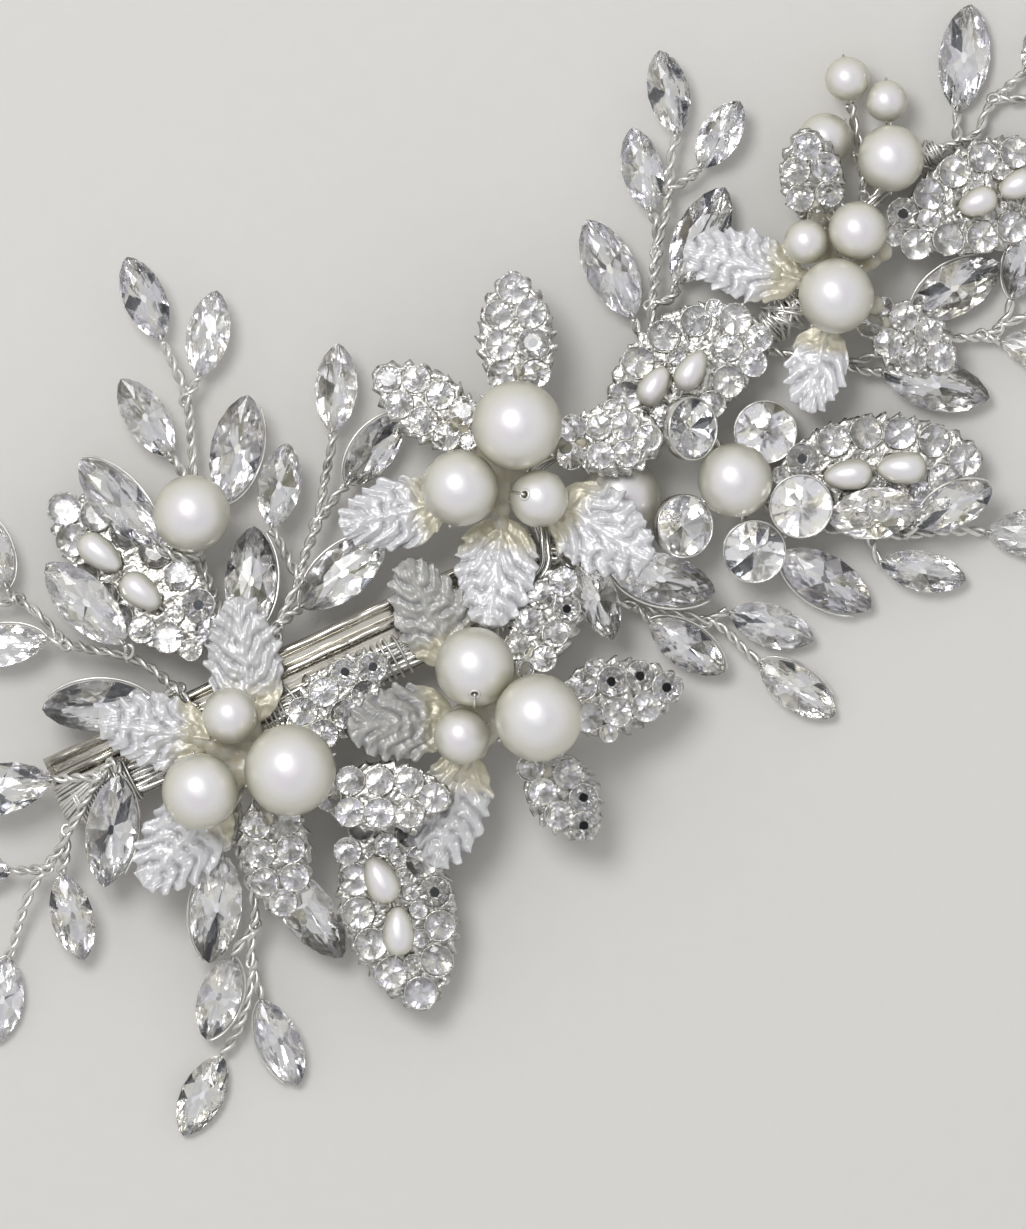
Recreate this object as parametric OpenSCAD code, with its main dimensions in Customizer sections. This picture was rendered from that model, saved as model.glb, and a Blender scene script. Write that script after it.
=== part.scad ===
// Bridal hair clip: a spray of pointed crystals, pearls, cast leaves and
// stone-set leaves on twisted wire, bound along a barrette clip.
// Millimetres. X runs to the right and Y up as the spray is seen from the
// front, Z points at the viewer. The clip's arm lies flat on Z = 0 and the
// origin is the middle of the arm's flat underside.

/* [Clip] */
// Length of the clip's top bar
clip_length = 60; // [58:0.5:61]
// Width of the clip's top bar
clip_width = 8; // [7:0.1:8.5]
// Thickness of the top bar
clip_thick = 0.8; // [0.6:0.1:1]
// Height of the bar's top at its middle
clip_top = 7.2; // [7:0.1:7.3]
// How far the bar's ends drop below its middle
clip_rise = 3; // [2.8:0.1:3.2]
// Turn of the clip against the spray, in degrees
clip_turn = 25; // [24:0.5:26]
// Width of the closing arm
arm_width = 5; // [3:0.5:7]
// Thickness of the closing arm
arm_thick = 1; // [0.6:0.1:1.2]

/* [Wire] */
// Radius of a twisted pair of wires
twig_r = 0.48; // [0.3:0.02:0.5]
// Half width of the bundle of stems on the bar
bundle_half_w = 1.9; // [1.5:0.1:2]
// Half height of the bundle of stems on the bar
bundle_half_h = 0.7; // [0.5:0.05:0.75]
// Radius of the main stem past the clip
stem_r = 1.05; // [0.8:0.05:1.1]
// Thickness of the layer of binding wire
wrap_thick = 0.28; // [0.2:0.02:0.3]

/* [Crystals] */
// Height of a pointed crystal above its edge, as a share of its width
crown_share = 0.2; // [0.15:0.01:0.24]
// Depth of a pointed crystal below its edge, as a share of its width
back_share = 0.25; // [0.15:0.01:0.26]
// Height of a round stone above its leaf
stone_h = 0.9; // [0.6:0.05:0.95]
// Radius of a large round crystal in a cup
cup_stone_r = 3.1; // [2.8:0.05:3.1]

/* [Leaves and pearls] */
// Thickness of a stone-set leaf
plate_thick = 0.8; // [0.6:0.05:0.8]
// Thickness of a cast leaf between its veins
leaf_thick = 0.7; // [0.6:0.05:0.8]
// Height of the raised veins on a cast leaf
vein_h = 0.32; // [0.1:0.02:0.4]
// Depth of the teeth round a leaf
tooth = 0.38; // [0.2:0.02:0.45]
// Radius of the hole through a pearl
pearl_hole_r = 0.4; // [0.3:0.05:0.5]

/* [Hidden] */
// Clear space between pieces that sit on each other
gap = 0.12;
// Clear space between a crystal's point and its wire
tip_gap = 0.15;
// Thickness of the slice that two lengths of a wire share at a bend
joint_slice = 0.04;
// Sides of a wire, of the main stem and of a round pad
wire_sides = 5;
stem_sides = 6;
pad_sides = 12;
// Corners round a pointed crystal, and round a small and a large round stone
navette_sides = 10;
stone_sides = 8;
cup_stone_sides = 12;

// Place of the spray's own zero against the middle of the clip
spray_at = [0.6, 2.9, 0];
// Radius of the bar's arch, from its length and rise
arch_r = (pow(clip_length / 2, 2) + pow(clip_rise, 2)) / (2 * clip_rise);
// Length along the clip of the tab at each end of the bar, and the height of the tab's foot
tab_long = 1;
tab_foot = 0.3;
// How far a tab runs up into the bar
tab_root = 0.2;
// Space along the clip between a tab and the arm
tab_gap = 0.2;
// Place of the bundle across the bar
bundle_side = -2.05;
// Space under the bundle, which leaves room for its binding
bundle_lift = 0.45;

// Pads that hold the clusters: name, x, y, height of the pad's top, radius
hubs = [
    ["a", -8.1, -11.7, 9.7, 3.2],
    ["b", 18.7, -6.1, 9.0, 3.2],
    ["c", 20.1, 19.1, 8.2, 3.2],
    ["e", 55.1, 41.9, 5.2, 3.0]
];
pad_thick = 0.8;
// Depth of the stems' roots below the middle of a pad
stem_root = 0.1;
// Wires that come to a pad from the main stem: name of the pad, points [x, y, z]
leads = [
    ["b", [[12.9, -1.9, 7.9], [15.5, -3.8, 8.2]]]
];
// Radius of the short stem under each leaf, and where it ends along the leaf
leaf_stem_r = 0.4;
leaf_stem_end = 0.25;
// Leaves whose base is lower than this lie on the main stem and need no wire from a hub
hub_reach = 5.1;

// Bundle of stems on the bar: distances along the clip
bundle_stops = [-29, -25.5, -22, -14, -6, -4, 4, 10, 17, 23];
// Main stem past the bar: x, y, z
stem_route = [
    [24.4, 8.4, 6.3], [24.1, 11.6, 6.0], [22.8, 15.4, 5.8], [22.9, 19.1, 5.6],
    [26.0, 21.1, 4.9], [30.3, 21.9, 3.8], [35.7, 24.0, 2.8], [41.1, 28.0, 2.5],
    [46.4, 32.6, 2.5], [50.2, 35.8, 2.6], [54.2, 39.6, 2.7], [57.0, 43.6, 2.7],
    [59.3, 47.3, 2.6], [62.6, 51.2, 2.5], [64.6, 52.5, 2.35], [66.7, 53.5, 2.2]
];
// Stretches of binding: first and last stop, counted along the whole stem
wraps = [[0, 2], [4, 5], [6, 7], [18, 19], [24, 25]];

// Pointed crystals: twig, root x, y, z, tip x, y, z, width, roll in degrees
navettes = [
    ["left_top", -16.7, 33.1, 3.2, -20.5, 42.0, 3.6, 5.0, 8],
    ["left_top", -12.7, 29.1, 3.2, -10.8, 38.4, 3.0, 5.1, -10],
    ["left_top", -15.7, 20.6, 3.4, -21.1, 28.9, 4.6, 5.0, 6],
    ["left_top", -10.0, 15.6, 3.0, -7.4, 27.2, 4.4, 6.0, -8],
    ["left_top", -17.2, 11.1, 8.5, -25.4, 20.2, 7.4, 5.8, 14],
    ["left_mid", -4.9, 12.9, 5.2, -3.2, 22.0, 5.6, 5.0, 6],
    ["left_mid", -7.5, 1.3, 6.6, -6.8, 13.1, 5.4, 6.0, 0],
    ["left_mid", 1.7, 23.1, 3.6, 2.3, 32.7, 3.8, 5.0, -6],
    ["left_mid", 3.2, 17.5, 3.8, 9.0, 25.1, 3.6, 5.0, 10],
    ["left_mid", -1.7, 4.3, 6.4, 7.3, 11.9, 6.2, 6.0, -6],
    ["left_out", -20.6, 0.5, 8.6, -29.0, 9.1, 8.0, 6.0, -5],
    ["left_out", -33.3, 6.5, 3.6, -37.2, 14.8, 3.0, 5.0, 4],
    ["left_out", -35.5, 4.7, 3.0, -44.7, 6.2, 2.4, 4.6, 0],
    ["left_out", -29.0, 0.9, 4.6, -38.7, -0.4, 3.8, 4.8, 5],
    ["left_out", -17.5, -5.9, 7.6, -29.5, -6.5, 6.6, 6.0, -8],
    ["left_low", -28.3, -14.0, 6.8, -40.1, -16.3, 5.2, 6.0, 5],
    ["left_low", -21.3, -13.6, 8.8, -22.8, -25.6, 6.4, 6.0, -6],
    ["left_low", -27.5, -24.2, 4.4, -25.1, -33.5, 3.0, 5.0, 6],
    ["left_low", -33.2, -33.2, 1.6, -34.6, -42.5, 1.0, 5.0, 0],
    ["left_low", -32.9, -24.0, 3.4, -42.3, -23.3, 2.4, 5.0, -4],
    ["low", -10.1, -22.0, 6.2, -11.6, -33.8, 4.8, 6.0, 5],
    ["low", -9.1, -33.1, 4.0, -12.0, -42.0, 2.6, 5.0, -5],
    ["low", -6.0, -37.8, 2.4, -2.1, -47.0, 1.3, 5.0, 10],
    ["low", -10.3, -43.8, 1.6, -14.5, -52.4, 1.0, 5.0, 0],
    ["low", -4.6, -23.3, 6.0, 2.7, -33.2, 4.4, 6.0, 5],
    ["top", 38.7, 55.2, 2.8, 36.7, 64.2, 3.2, 4.9, 8],
    ["top", 41.1, 51.6, 2.8, 45.4, 58.7, 3.8, 4.8, -8],
    ["top", 35.9, 46.9, 3.2, 33.8, 55.9, 3.0, 4.8, 5],
    ["top", 38.5, 39.0, 2.8, 43.8, 49.5, 3.0, 6.0, -5],
    ["top", 34.0, 35.5, 3.4, 28.9, 46.0, 3.2, 6.0, 6],
    ["right", 63.8, 35.7, 3.0, 73.3, 41.4, 2.4, 6.0, 5],
    ["right", 60.8, 29.6, 2.8, 72.2, 26.9, 2.2, 6.0, -6],
    ["right", 74.6, 37.6, 1.8, 77.9, 46.2, 1.5, 5.0, 0],
    ["right", 73.5, 32.9, 1.8, 83.0, 31.0, 1.4, 5.0, 4],
    ["right", 77.6, 36.1, 1.6, 87.2, 38.4, 1.4, 4.8, 0],
    ["right", 68.8, 57.7, 1.7, 70.2, 69.2, 1.6, 6.0, 0],
    ["right", 76.1, 61.9, 1.5, 80.6, 69.1, 1.6, 4.8, 5],
    ["right", 78.2, 59.5, 1.4, 87.3, 61.6, 1.4, 4.8, 0],
    ["right_low", 71.9, 12.4, 1.6, 83.5, 12.2, 1.5, 6.0, 0],
    ["right_low", 60.5, 9.2, 2.6, 69.7, 7.3, 1.8, 4.8, -6],
    ["right_low", 49.7, 10.2, 2.6, 59.5, 4.3, 1.9, 6.0, 6],
    ["right_low", 64.3, 13.1, 5.6, 72.4, 17.3, 5.4, 5.0, 5],
    ["right_low", 54.7, 13.8, 5.9, 64.8, 15.1, 6.2, 6.0, -4],
    ["right_low", 44.2, 3.9, 2.6, 53.3, 0.9, 2.0, 5.0, 5],
    ["right_low", 47.5, -1.6, 2.2, 55.6, -7.3, 1.5, 5.0, -5],
    ["right_low", 35.7, 2.9, 3.8, 43.7, -2.6, 3.0, 5.0, 8],
    ["right_low", 31.2, 8.8, 6.5, 42.7, 6.0, 5.6, 6.0, -5],
    ["right_low", 28.4, 9.9, 7.4, 31.7, 0.9, 6.6, 4.8, 6]
];

// Twisted wires: twig, row of the crystal at the end (-1 for none), points [x, y, z]
wires = [
    ["left_top", 0, [[-8.6, -4.3, 7.9], [-9.5, 0.3, 7.2], [-10.9, 5.2, 5.4], [-12.5, 9.5, 4.0],
        [-13.3, 14.3, 3.3], [-13.4, 19.7, 3.0], [-13.7, 24.5, 3.0], [-14.0, 26.9, 3.1], [-15.3, 30.1, 3.2]]],
    ["left_top", 1, [[-14.0, 26.9, 3.1], [-13.2, 28.2, 3.2]]],
    ["left_top", 2, [[-13.3, 16.5, 3.2], [-14.6, 19.0, 3.3]]],
    ["left_top", 3, [[-13.3, 14.3, 3.3], [-12.0, 13.7, 3.2], [-10.6, 14.3, 3.1]]],
    ["left_top", 4, [[-12.5, 9.5, 4.0], [-12.7, 9.8, 5.6], [-13.2, 9.6, 7.4], [-15.3, 9.9, 8.5]]],
    ["left_top", -1, [[-10.2, 2.7, 6.2], [-12.6, 3.4, 5.7], [-15.6, 4.4, 5.4]]],
    ["left_mid", 7, [[-4.4, -2.6, 8.1], [-4.7, 0.9, 7.6], [-3.5, 3.9, 6.8], [-1.9, 7.3, 6.0],
        [-1.3, 10.0, 5.4], [0.0, 13.5, 4.6], [0.8, 18.1, 4.0], [1.5, 21.5, 3.7]]],
    ["left_mid", 8, [[0.0, 13.5, 4.6], [0.9, 14.6, 4.3], [2.2, 16.6, 3.9]]],
    ["left_mid", 5, [[-1.9, 7.3, 6.0], [-3.3, 10.0, 5.5], [-4.2, 11.8, 5.3]]],
    ["left_mid", 9, [[-4.1, 2.4, 7.1], [-2.8, 3.6, 6.7]]],
    ["left_mid", 6, [[-4.7, 0.9, 7.6], [-6.4, -0.1, 7.2], [-7.4, 0.3, 6.9]]],
    ["left_out", 13, [[-13.0, -6.5, 7.5], [-15.1, -4.5, 7.3], [-17.5, -2.4, 6.8], [-20.4, -0.9, 6.4],
        [-24.0, -0.2, 5.8], [-27.2, 0.6, 5.0]]],
    ["left_out", 10, [[-20.4, -0.9, 6.4], [-20.1, -0.7, 7.6], [-20.1, -0.1, 8.4]]],
    ["left_out", 11, [[-27.2, 0.6, 5.0], [-28.8, 2.5, 4.4], [-30.4, 4.0, 4.0], [-32.4, 5.2, 3.8]]],
    ["left_out", 12, [[-32.4, 5.2, 3.8], [-34.3, 4.8, 3.3]]],
    ["left_out", 14, [[-15.1, -4.5, 7.3], [-16.5, -5.2, 7.4]]],
    ["left_low", 18, [[-23.2, -13.7, 7.9], [-24.5, -15.8, 7.7], [-25.6, -18.0, 7.3], [-26.9, -19.8, 6.2],
        [-27.7, -21.7, 5.4], [-29.3, -23.7, 4.6], [-30.7, -26.0, 3.8], [-31.8, -28.7, 2.9],
        [-32.6, -31.6, 2.0]]],
    ["left_low", 19, [[-29.3, -23.7, 4.6], [-32.0, -23.9, 3.7]]],
    ["left_low", 17, [[-26.9, -19.8, 6.2], [-27.1, -22.6, 5.0]]],
    ["left_low", 15, [[-23.2, -13.7, 7.9], [-26.1, -13.9, 7.6]]],
    ["left_low", 16, [[-23.2, -13.7, 7.9], [-22.2, -12.2, 8.4], [-21.4, -12.5, 8.7]]],
    ["low", 22, [[-8.1, -14.7, 8.2], [-8.6, -17.4, 7.9], [-8.8, -20.4, 7.2], [-7.5, -24.4, 5.8],
        [-6.7, -28.2, 4.8], [-7.1, -31.4, 4.0], [-7.1, -34.1, 3.3], [-6.5, -36.2, 2.8]]],
    ["low", 23, [[-7.1, -34.1, 3.3], [-7.5, -37.8, 2.6], [-8.6, -41.1, 2.0]]],
    ["low", 21, [[-6.9, -30.0, 4.4], [-8.4, -31.9, 4.2]]],
    ["low", 20, [[-8.8, -20.4, 7.2], [-9.6, -21.2, 6.7]]],
    ["low", 24, [[-8.6, -17.4, 7.9], [-6.2, -20.6, 6.9]]],
    ["top", 25, [[39.2, 29.2, 3.2], [37.0, 32.0, 3.1], [35.9, 35.5, 3.2], [36.2, 39.6, 3.1],
        [36.4, 42.8, 3.0], [37.4, 46.5, 2.9], [37.8, 50.3, 2.8], [38.1, 53.5, 2.8]]],
    ["top", 26, [[37.7, 49.2, 2.8], [39.6, 50.3, 2.8]]],
    ["top", 27, [[36.4, 42.8, 3.0], [36.4, 45.2, 3.1]]],
    ["top", 28, [[36.0, 36.9, 3.2], [38.1, 37.6, 3.0]]],
    ["top", 29, [[36.5, 33.5, 3.15], [34.6, 33.7, 3.3]]],
    ["right", 34, [[48.4, 32.0, 3.3], [51.8, 31.2, 3.0], [56.6, 30.6, 2.8], [61.0, 31.8, 2.6],
        [65.3, 32.9, 2.3], [69.0, 33.3, 2.1], [71.7, 33.5, 1.9], [73.3, 34.4, 1.8], [75.3, 35.3, 1.7]]],
    ["right", 32, [[73.3, 34.4, 1.8], [74.2, 35.9, 1.8]]],
    ["right", 33, [[71.7, 33.5, 1.9], [72.6, 33.1, 1.85]]],
    ["right", 30, [[62.8, 32.3, 2.5], [63.4, 34.3, 2.8]]],
    ["right", 31, [[56.6, 30.6, 2.8], [58.3, 29.8, 2.8]]],
    ["right", 36, [[67.0, 53.6, 2.1], [68.8, 54.3, 1.9], [70.9, 55.3, 1.8], [71.8, 57.6, 1.7],
        [73.3, 59.3, 1.6], [74.6, 60.6, 1.5]]],
    ["right", 35, [[68.8, 54.3, 1.9], [68.7, 56.2, 1.8]]],
    ["right", 37, [[73.0, 59.0, 1.6], [75.5, 59.0, 1.5]]],
    ["right", -1, [[58.7, 48.8, 2.7], [58.3, 53.5, 2.6], [57.7, 56.2, 2.9], [57.2, 58.4, 3.5]]],
    ["right", -1, [[58.4, 51.9, 2.6], [57.5, 53.1, 3.3]]],
    ["right", -1, [[60.8, 51.6, 2.4], [61.1, 53.8, 2.4], [61.2, 55.9, 3.4]]],
    ["right_low", 38, [[52.5, 14.6, 2.9], [55.6, 13.5, 2.8], [59.3, 12.4, 2.6], [63.1, 12.1, 2.3],
        [67.4, 12.6, 2.0], [70.1, 12.6, 1.8]]],
    ["right_low", 39, [[59.3, 12.4, 2.6], [59.7, 10.8, 2.6]]],
    ["right_low", 40, [[52.5, 14.6, 2.9], [50.2, 12.6, 2.8], [49.1, 11.0, 2.8]]],
    ["right_low", 41, [[63.1, 12.1, 2.3], [63.4, 12.5, 4.2]]],
    ["right_low", 42, [[52.5, 14.6, 2.9], [53.0, 12.6, 3.6], [53.6, 12.7, 5.0]]],
    ["right_low", 44, [[25.6, 9.9, 6.2], [27.0, 8.4, 5.6], [29.6, 6.2, 5.1], [32.0, 5.0, 3.9],
        [34.0, 4.6, 3.2], [36.8, 3.9, 3.3], [41.1, 3.2, 3.0], [43.4, 2.2, 2.8], [45.9, -0.2, 2.5]]],
    ["right_low", 43, [[42.0, 2.9, 2.9], [43.2, 3.6, 2.7]]],
    ["right_low", 45, [[34.0, 4.6, 3.2], [35.0, 3.8, 3.6]]],
    ["right_low", 46, [[25.6, 9.9, 6.2], [26.6, 10.6, 6.6], [28.8, 10.1, 6.8]]],
    ["right_low", 47, [[26.6, 10.6, 6.6], [27.3, 11.0, 7.2]]]
];
twigs = ["left_top", "left_mid", "left_out", "left_low", "low", "top", "right", "right_low"];

// Cast leaves: cluster, base x, y, z, tip x, y, z, width
cast_leaf_rows = [
    ["a", -6.9, -8.0, 9.85, -8.6, 5.5, 10.2, 7.6],
    ["a", -11.4, -9.7, 9.85, -23.3, -8.0, 9.9, 7.4],
    ["a", -10.1, -15.8, 9.85, -18.5, -25.4, 8.6, 8.2],
    ["b", 14.7, -1.6, 9.15, 9.4, 9.5, 10.9, 7.4],
    ["b", 14.4, -7.4, 9.15, 3.1, -8.6, 12.7, 7.6],
    ["b", 16.1, -11.2, 9.15, 12.6, -23.4, 7.6, 7.4],
    ["c", 13.7, 15.6, 8.35, 2.4, 13.0, 8.6, 7.2],
    ["c", 19.9, 13.8, 8.35, 18.4, 2.1, 11.2, 8.2],
    ["c", 25.5, 15.9, 8.35, 35.7, 9.2, 10.6, 8.6],
    ["e", 51.8, 39.5, 5.35, 39.3, 42.8, 5.6, 6.8],
    ["e", 54.6, 34.4, 5.35, 52.6, 25.3, 5.4, 6.0]
];

// Stone-set leaves: cluster, base x, y, z, tip x, y, z, width, where it is widest as a share of its
// length, stones on the left and on the right as seen from the base and counted from the tip, radius
// of a stone, spacing of the stones down a side
pave_leaf_rows = [
    ["a", -5.4, -15.3, 9.85, -3.4, -28.8, 7.6, 7.4, 0.45, [0, 1, 2], [0, 1, 2], 1.45, 3.1],
    ["a", -3.0, -10.4, 9.85, 7.3, -0.8, 9.75, 7.0, 0.45, [0, 1, 2], [0, 1, 2], 1.45, 3.1],
    ["a", 0.4, -15.8, 9.85, 14.5, -16.0, 11.3, 7.2, 0.45, [0, 1, 2], [0, 1, 2], 1.5, 3.2],
    ["a", 6.0, -17.8, 6.6, 11.6, -38.8, 4.6, 12.0, 0.45, [0, 1, 2, 3], [0, 1, 2, 3], 1.65, 3.6],
    ["b", 21.7, -2.8, 9.15, 27.1, 8.6, 7.9, 7.0, 0.5, [0, 1, 2], [0, 1, 2], 1.4, 3.0],
    ["b", 25.7, -6.3, 9.15, 39.1, -3.9, 6.8, 8.0, 0.4, [0, 1, 2], [0, 1, 2], 1.5, 3.2],
    ["b", 23.3, -11.2, 9.15, 29.5, -20.3, 7.2, 7.2, 0.45, [0, 1], [0, 1], 1.45, 3.1],
    ["c", 17.2, 22.4, 8.35, 6.2, 29.8, 7.4, 7.4, 0.45, [0, 1, 2], [0, 1, 2], 1.45, 3.05],
    ["c", 21.8, 26.7, 8.35, 20.9, 40.3, 7.4, 8.0, 0.45, [0, 1, 2], [0, 1, 2], 1.55, 3.25],
    ["c", 25.9, 21.9, 8.35, 37.2, 22.6, 8.7, 7.6, 0.5, [0, 1, 2], [0, 1], 1.35, 2.85],
    ["c", 47.7, 34.7, 5.0, 31.4, 26.0, 4.0, 11.4, 0.45, [2], [0, 1, 2, 3], 1.65, 3.8],
    ["d", 49.2, 17.6, 3.9, 71.4, 20.4, 3.2, 12.0, 0.45, [0, 1, 2, 3, 4], [], 1.65, 3.6],
    ["e", 53.8, 45.5, 5.35, 52.2, 55.7, 7.6, 6.6, 0.45, [0, 1], [0, 1], 1.4, 3.0],
    ["e", 58.9, 36.1, 5.35, 68.3, 30.3, 4.4, 7.2, 0.5, [0, 1], [0, 1], 1.45, 3.1],
    ["e", 61.1, 43.9, 4.6, 80.4, 52.1, 2.2, 11.6, 0.57, [0, 1, 2, 3, 4], [0, 1, 2, 3, 4], 1.6, 3.45],
    ["l", -11.6, 0.3, 7.0, -28.4, 16.1, 3.6, 10.4, 0.4, [0, 4], [0, 1, 2, 3, 4], 1.65, 3.7]
];
// A leaf wider than this has its stones along its edges, with room for long pearls between them
large_leaf = 9;
// Half width of any leaf at its stalk, and the length of a tooth along a stone-set leaf
stalk_half = 0.9;
tooth_pitch = 1.9;
// Space from a leaf's tip and from its edge to the nearest stone
tip_margin = 0.35;
edge_margin = 0.1;
// In stone radii: from the stone at the tip to the first pair, and from the middle line to a pair
first_pair = 1.75;
pair_apart = 1.12;
// Clusters with stone-set leaves, and clusters with cast leaves
pave_clusters = ["a", "b", "c", "d", "e", "l"];
cast_clusters = ["a", "b", "c", "e"];

// Long pearls on the large leaves: leaf row, along, across, turn in degrees, length, width
rice_rows = [
    [3, 6.8, -1.0, 11, 5.4, 3.6],
    [3, 12.6, -0.6, -13, 5.4, 3.4],
    [10, 8.9, 0.8, 30, 4.8, 3.1],
    [10, 13.2, 0.4, 30, 4.8, 3.1],
    [11, 7.7, 0.0, 0, 5.4, 3.3],
    [11, 13.5, 0.0, -6, 5.4, 3.6],
    [14, 10.3, -0.2, 0, 4.4, 3.1],
    [14, 15.0, -0.2, 0, 4.4, 3.1],
    [15, 8.9, 0.8, 5, 5.2, 3.5],
    [15, 15.0, 0.8, 5, 5.6, 3.4]
];

// Round pearls: node, x, y, height of the underside, diameter, turn of the hole in degrees
pearl_rows = [
    ["pearl_a1", -2.8, -13.0, 11.1, 9.8, 20],
    ["pearl_a2", -12.4, -15.3, 11.1, 8.2, 100],
    ["pearl_a3", -9.2, -7.2, 11.1, 6.0, 60],
    ["pearl_b1", 16.9, -2.0, 10.5, 8.5, 90],
    ["pearl_b2", 23.7, -7.4, 12.6, 9.4, 30],
    ["pearl_b3", 15.5, -9.4, 10.5, 6.0, 25],
    ["pearl_c1", 21.4, 23.8, 9.7, 9.6, 140],
    ["pearl_c2", 15.3, 17.1, 9.7, 8.2, 75],
    ["pearl_c3", 23.8, 16.0, 9.95, 6.2, 35],
    ["pearl_c4", 32.7, 16.3, 0.5, 8.2, 110],
    ["pearl_d1", 44.8, 18.0, 4.2, 8.0, 30],
    ["pearl_e1", 55.6, 37.7, 6.7, 8.1, 50],
    ["pearl_e2", 57.9, 44.7, 6.7, 6.3, 120],
    ["pearl_e3", 52.4, 43.5, 6.7, 4.8, 35],
    ["pearl_f1", 61.5, 52.5, 3.3, 7.2, 90],
    ["twig_pearls", 54.5, 54.6, 1.0, 5.7, 45],
    ["twig_pearls", 56.9, 61.1, 1.6, 4.8, 100],
    ["twig_pearls", 61.1, 58.7, 2.0, 4.5, 90],
    ["pearl_l1", -13.4, 14.4, 5.6, 8.3, 60]
];

// Cups of the small cluster: x, y, z of the cup's floor, turn about X and about Y in degrees
cups = [
    [38.8, 23.5, 8.2, 0, 40],
    [48.1, 23.2, 1.4, 0, 0],
    [38.4, 13.1, 5.2, 0, 28],
    [46.9, 10.6, 3.8, 6, 0],
    [51.85, 15.2, 5.5, 0, 0]
];
// Wall, depth, floor thickness and height of the cone of a cup
cup_wall = 0.22;
cup_depth = 2.0;
cup_floor = 0.35;
cup_cone_h = 1.3;
cup_sides = 10;
// How far a wire's end sinks below the middle of its cup's floor
cup_wire_sink = 0.2;
// Wires of the small cluster: row of the cup at the end (-1 for none), points [x, y, z]
cup_wires = [
    [-1, [[42.1, 26.7, 3.9], [42.7, 22.4, 3.1], [44.1, 18.6, 2.9], [47.5, 16.4, 2.8], [51.9, 15.0, 2.8]]],
    [0, [[42.7, 22.4, 3.1], [41.2, 23.2, 3.6]]],
    [1, [[44.1, 18.6, 2.9], [46.6, 21.6, 1.6]]],
    [2, [[44.1, 18.6, 2.9], [40.6, 14.6, 3.6]]],
    [3, [[44.1, 18.6, 2.9], [46.4, 12.2, 3.5]]],
    [4, [[47.5, 16.4, 2.8], [48.9, 14.4, 3.2], [49.6, 13.2, 4.2], [50.6, 13.5, 5.2]]]
];

pearl_nodes = ["twig_pearls", for (row = pearl_rows) if (row[0] != "twig_pearls") row[0]];

// Columns that the crystals and both kinds of leaf share
function root_of(row) = [row[1], row[2], row[3]];
function tip_of(row) = [row[4], row[5], row[6]];
function width_of(row) = row[7];
function long_of(row) = norm(tip_of(row) - root_of(row));
// Columns of a stone-set leaf: widest place, stones on the left, on the right, radius and spacing
function widest_of(row) = row[8];
function left_stones(row) = row[9];
function right_stones(row) = row[10];
function stone_r(row) = row[11];
function stone_step(row) = row[12];

function unit(v) = v / norm(v);

// Point at a share of the way from a row's root to its tip
function part_way(row, share) = root_of(row) + share * (tip_of(row) - root_of(row));

// Height of the bar's top at a distance along the clip
function bar_top(s) = clip_top - arch_r + sqrt(pow(arch_r, 2) - pow(s, 2));

// Point in the clip's own lengthwise and crosswise directions, turned into the part's frame
function on_clip(s, t, z) = [
    s * cos(clip_turn) - t * sin(clip_turn), s * sin(clip_turn) + t * cos(clip_turn), z
];

// Direction of a path at its point i, halfway between the stretches before and after it
function heading(path, i) = unit(
    (i > 0 ? unit(path[i] - path[i - 1]) : [0, 0, 0])
    + (i < len(path) - 1 ? unit(path[i + 1] - path[i]) : [0, 0, 0])
);

// Oval ring of n points square to the direction d; every second point is a little forward, so that
// the lengths before and after the ring share a thin slice and fuse
function ring(at, d, half_w, half_h, n) = let (u = unit(cross(d, [0, 0, 1])), w = cross(u, d))
    [for (k = [0:n - 1]) let (a = 360 * (k + 0.5) / n)
        at + half_w * cos(a) * u + half_h * sin(a) * w + (k % 2 - 0.5) * joint_slice * d];

// Half width of a leaf at a share t of its length, with its widest place as a share too
leaf_fullness = 0.62;
function leaf_half(t, width, widest) =
    width / 2 * pow(sin(180 * pow(t, ln(0.5) / ln(widest))), leaf_fullness);

// Level ring of n points, for a stone's edge and table
function level_ring(rx, ry, z, n, squareness) = [for (k = [0:n - 1])
    let (c = cos(360 * k / n), s = sin(360 * k / n))
    [rx * c, ry * sign(s) * pow(abs(s), squareness), z]];

// Solid skin stretched over a list of points
module skin(points) {
    hull()
        polyhedron(points, [[for (i = [0:len(points) - 1]) i]]);
}

// Rod through the points of a path, with an oval section
module rod(path, half_w, half_h, n) {
    for (i = [0:len(path) - 2])
        skin(concat(
            ring(path[i], heading(path, i), half_w, half_h, n),
            ring(path[i + 1], heading(path, i + 1), half_w, half_h, n)
        ));
}

// Lays what is drawn along +X, with +Z up, from one point towards another
module along(root, tip, roll = 0) {
    d = tip - root;
    translate(root)
        rotate([0, 0, atan2(d.y, d.x)])
            rotate([0, -asin(d.z / norm(d)), 0])
                rotate([roll, 0, 0])
                    children();
}

// Puts what is drawn in the spray's own frame
module spray() {
    translate(spray_at)
        children();
}

// Arched top bar with a tab at each end that comes down to the arm
module clip_bar() {
    tab_top = bar_top(clip_length / 2) - clip_thick + tab_root;
    color("silver")
        rotate([0, 0, clip_turn]) {
            intersection() {
                translate([0, 0, clip_top - arch_r])
                    rotate([90, 0, 0])
                        difference() {
                            cylinder(h = clip_width, r = arch_r, center = true, $fn = 200);
                            cylinder(h = clip_width + 1, r = arch_r - clip_thick, center = true, $fn = 200);
                        }
                translate([-clip_length / 2, -clip_width / 2, 0])
                    cube([clip_length, clip_width, clip_top + 1]);
            }
            for (side = [-1, 1])
                translate([side * (clip_length - tab_long) / 2 - tab_long / 2, -arm_width / 2, tab_foot])
                    cube([tab_long, arm_width, tab_top - tab_foot]);
        }
}

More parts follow.
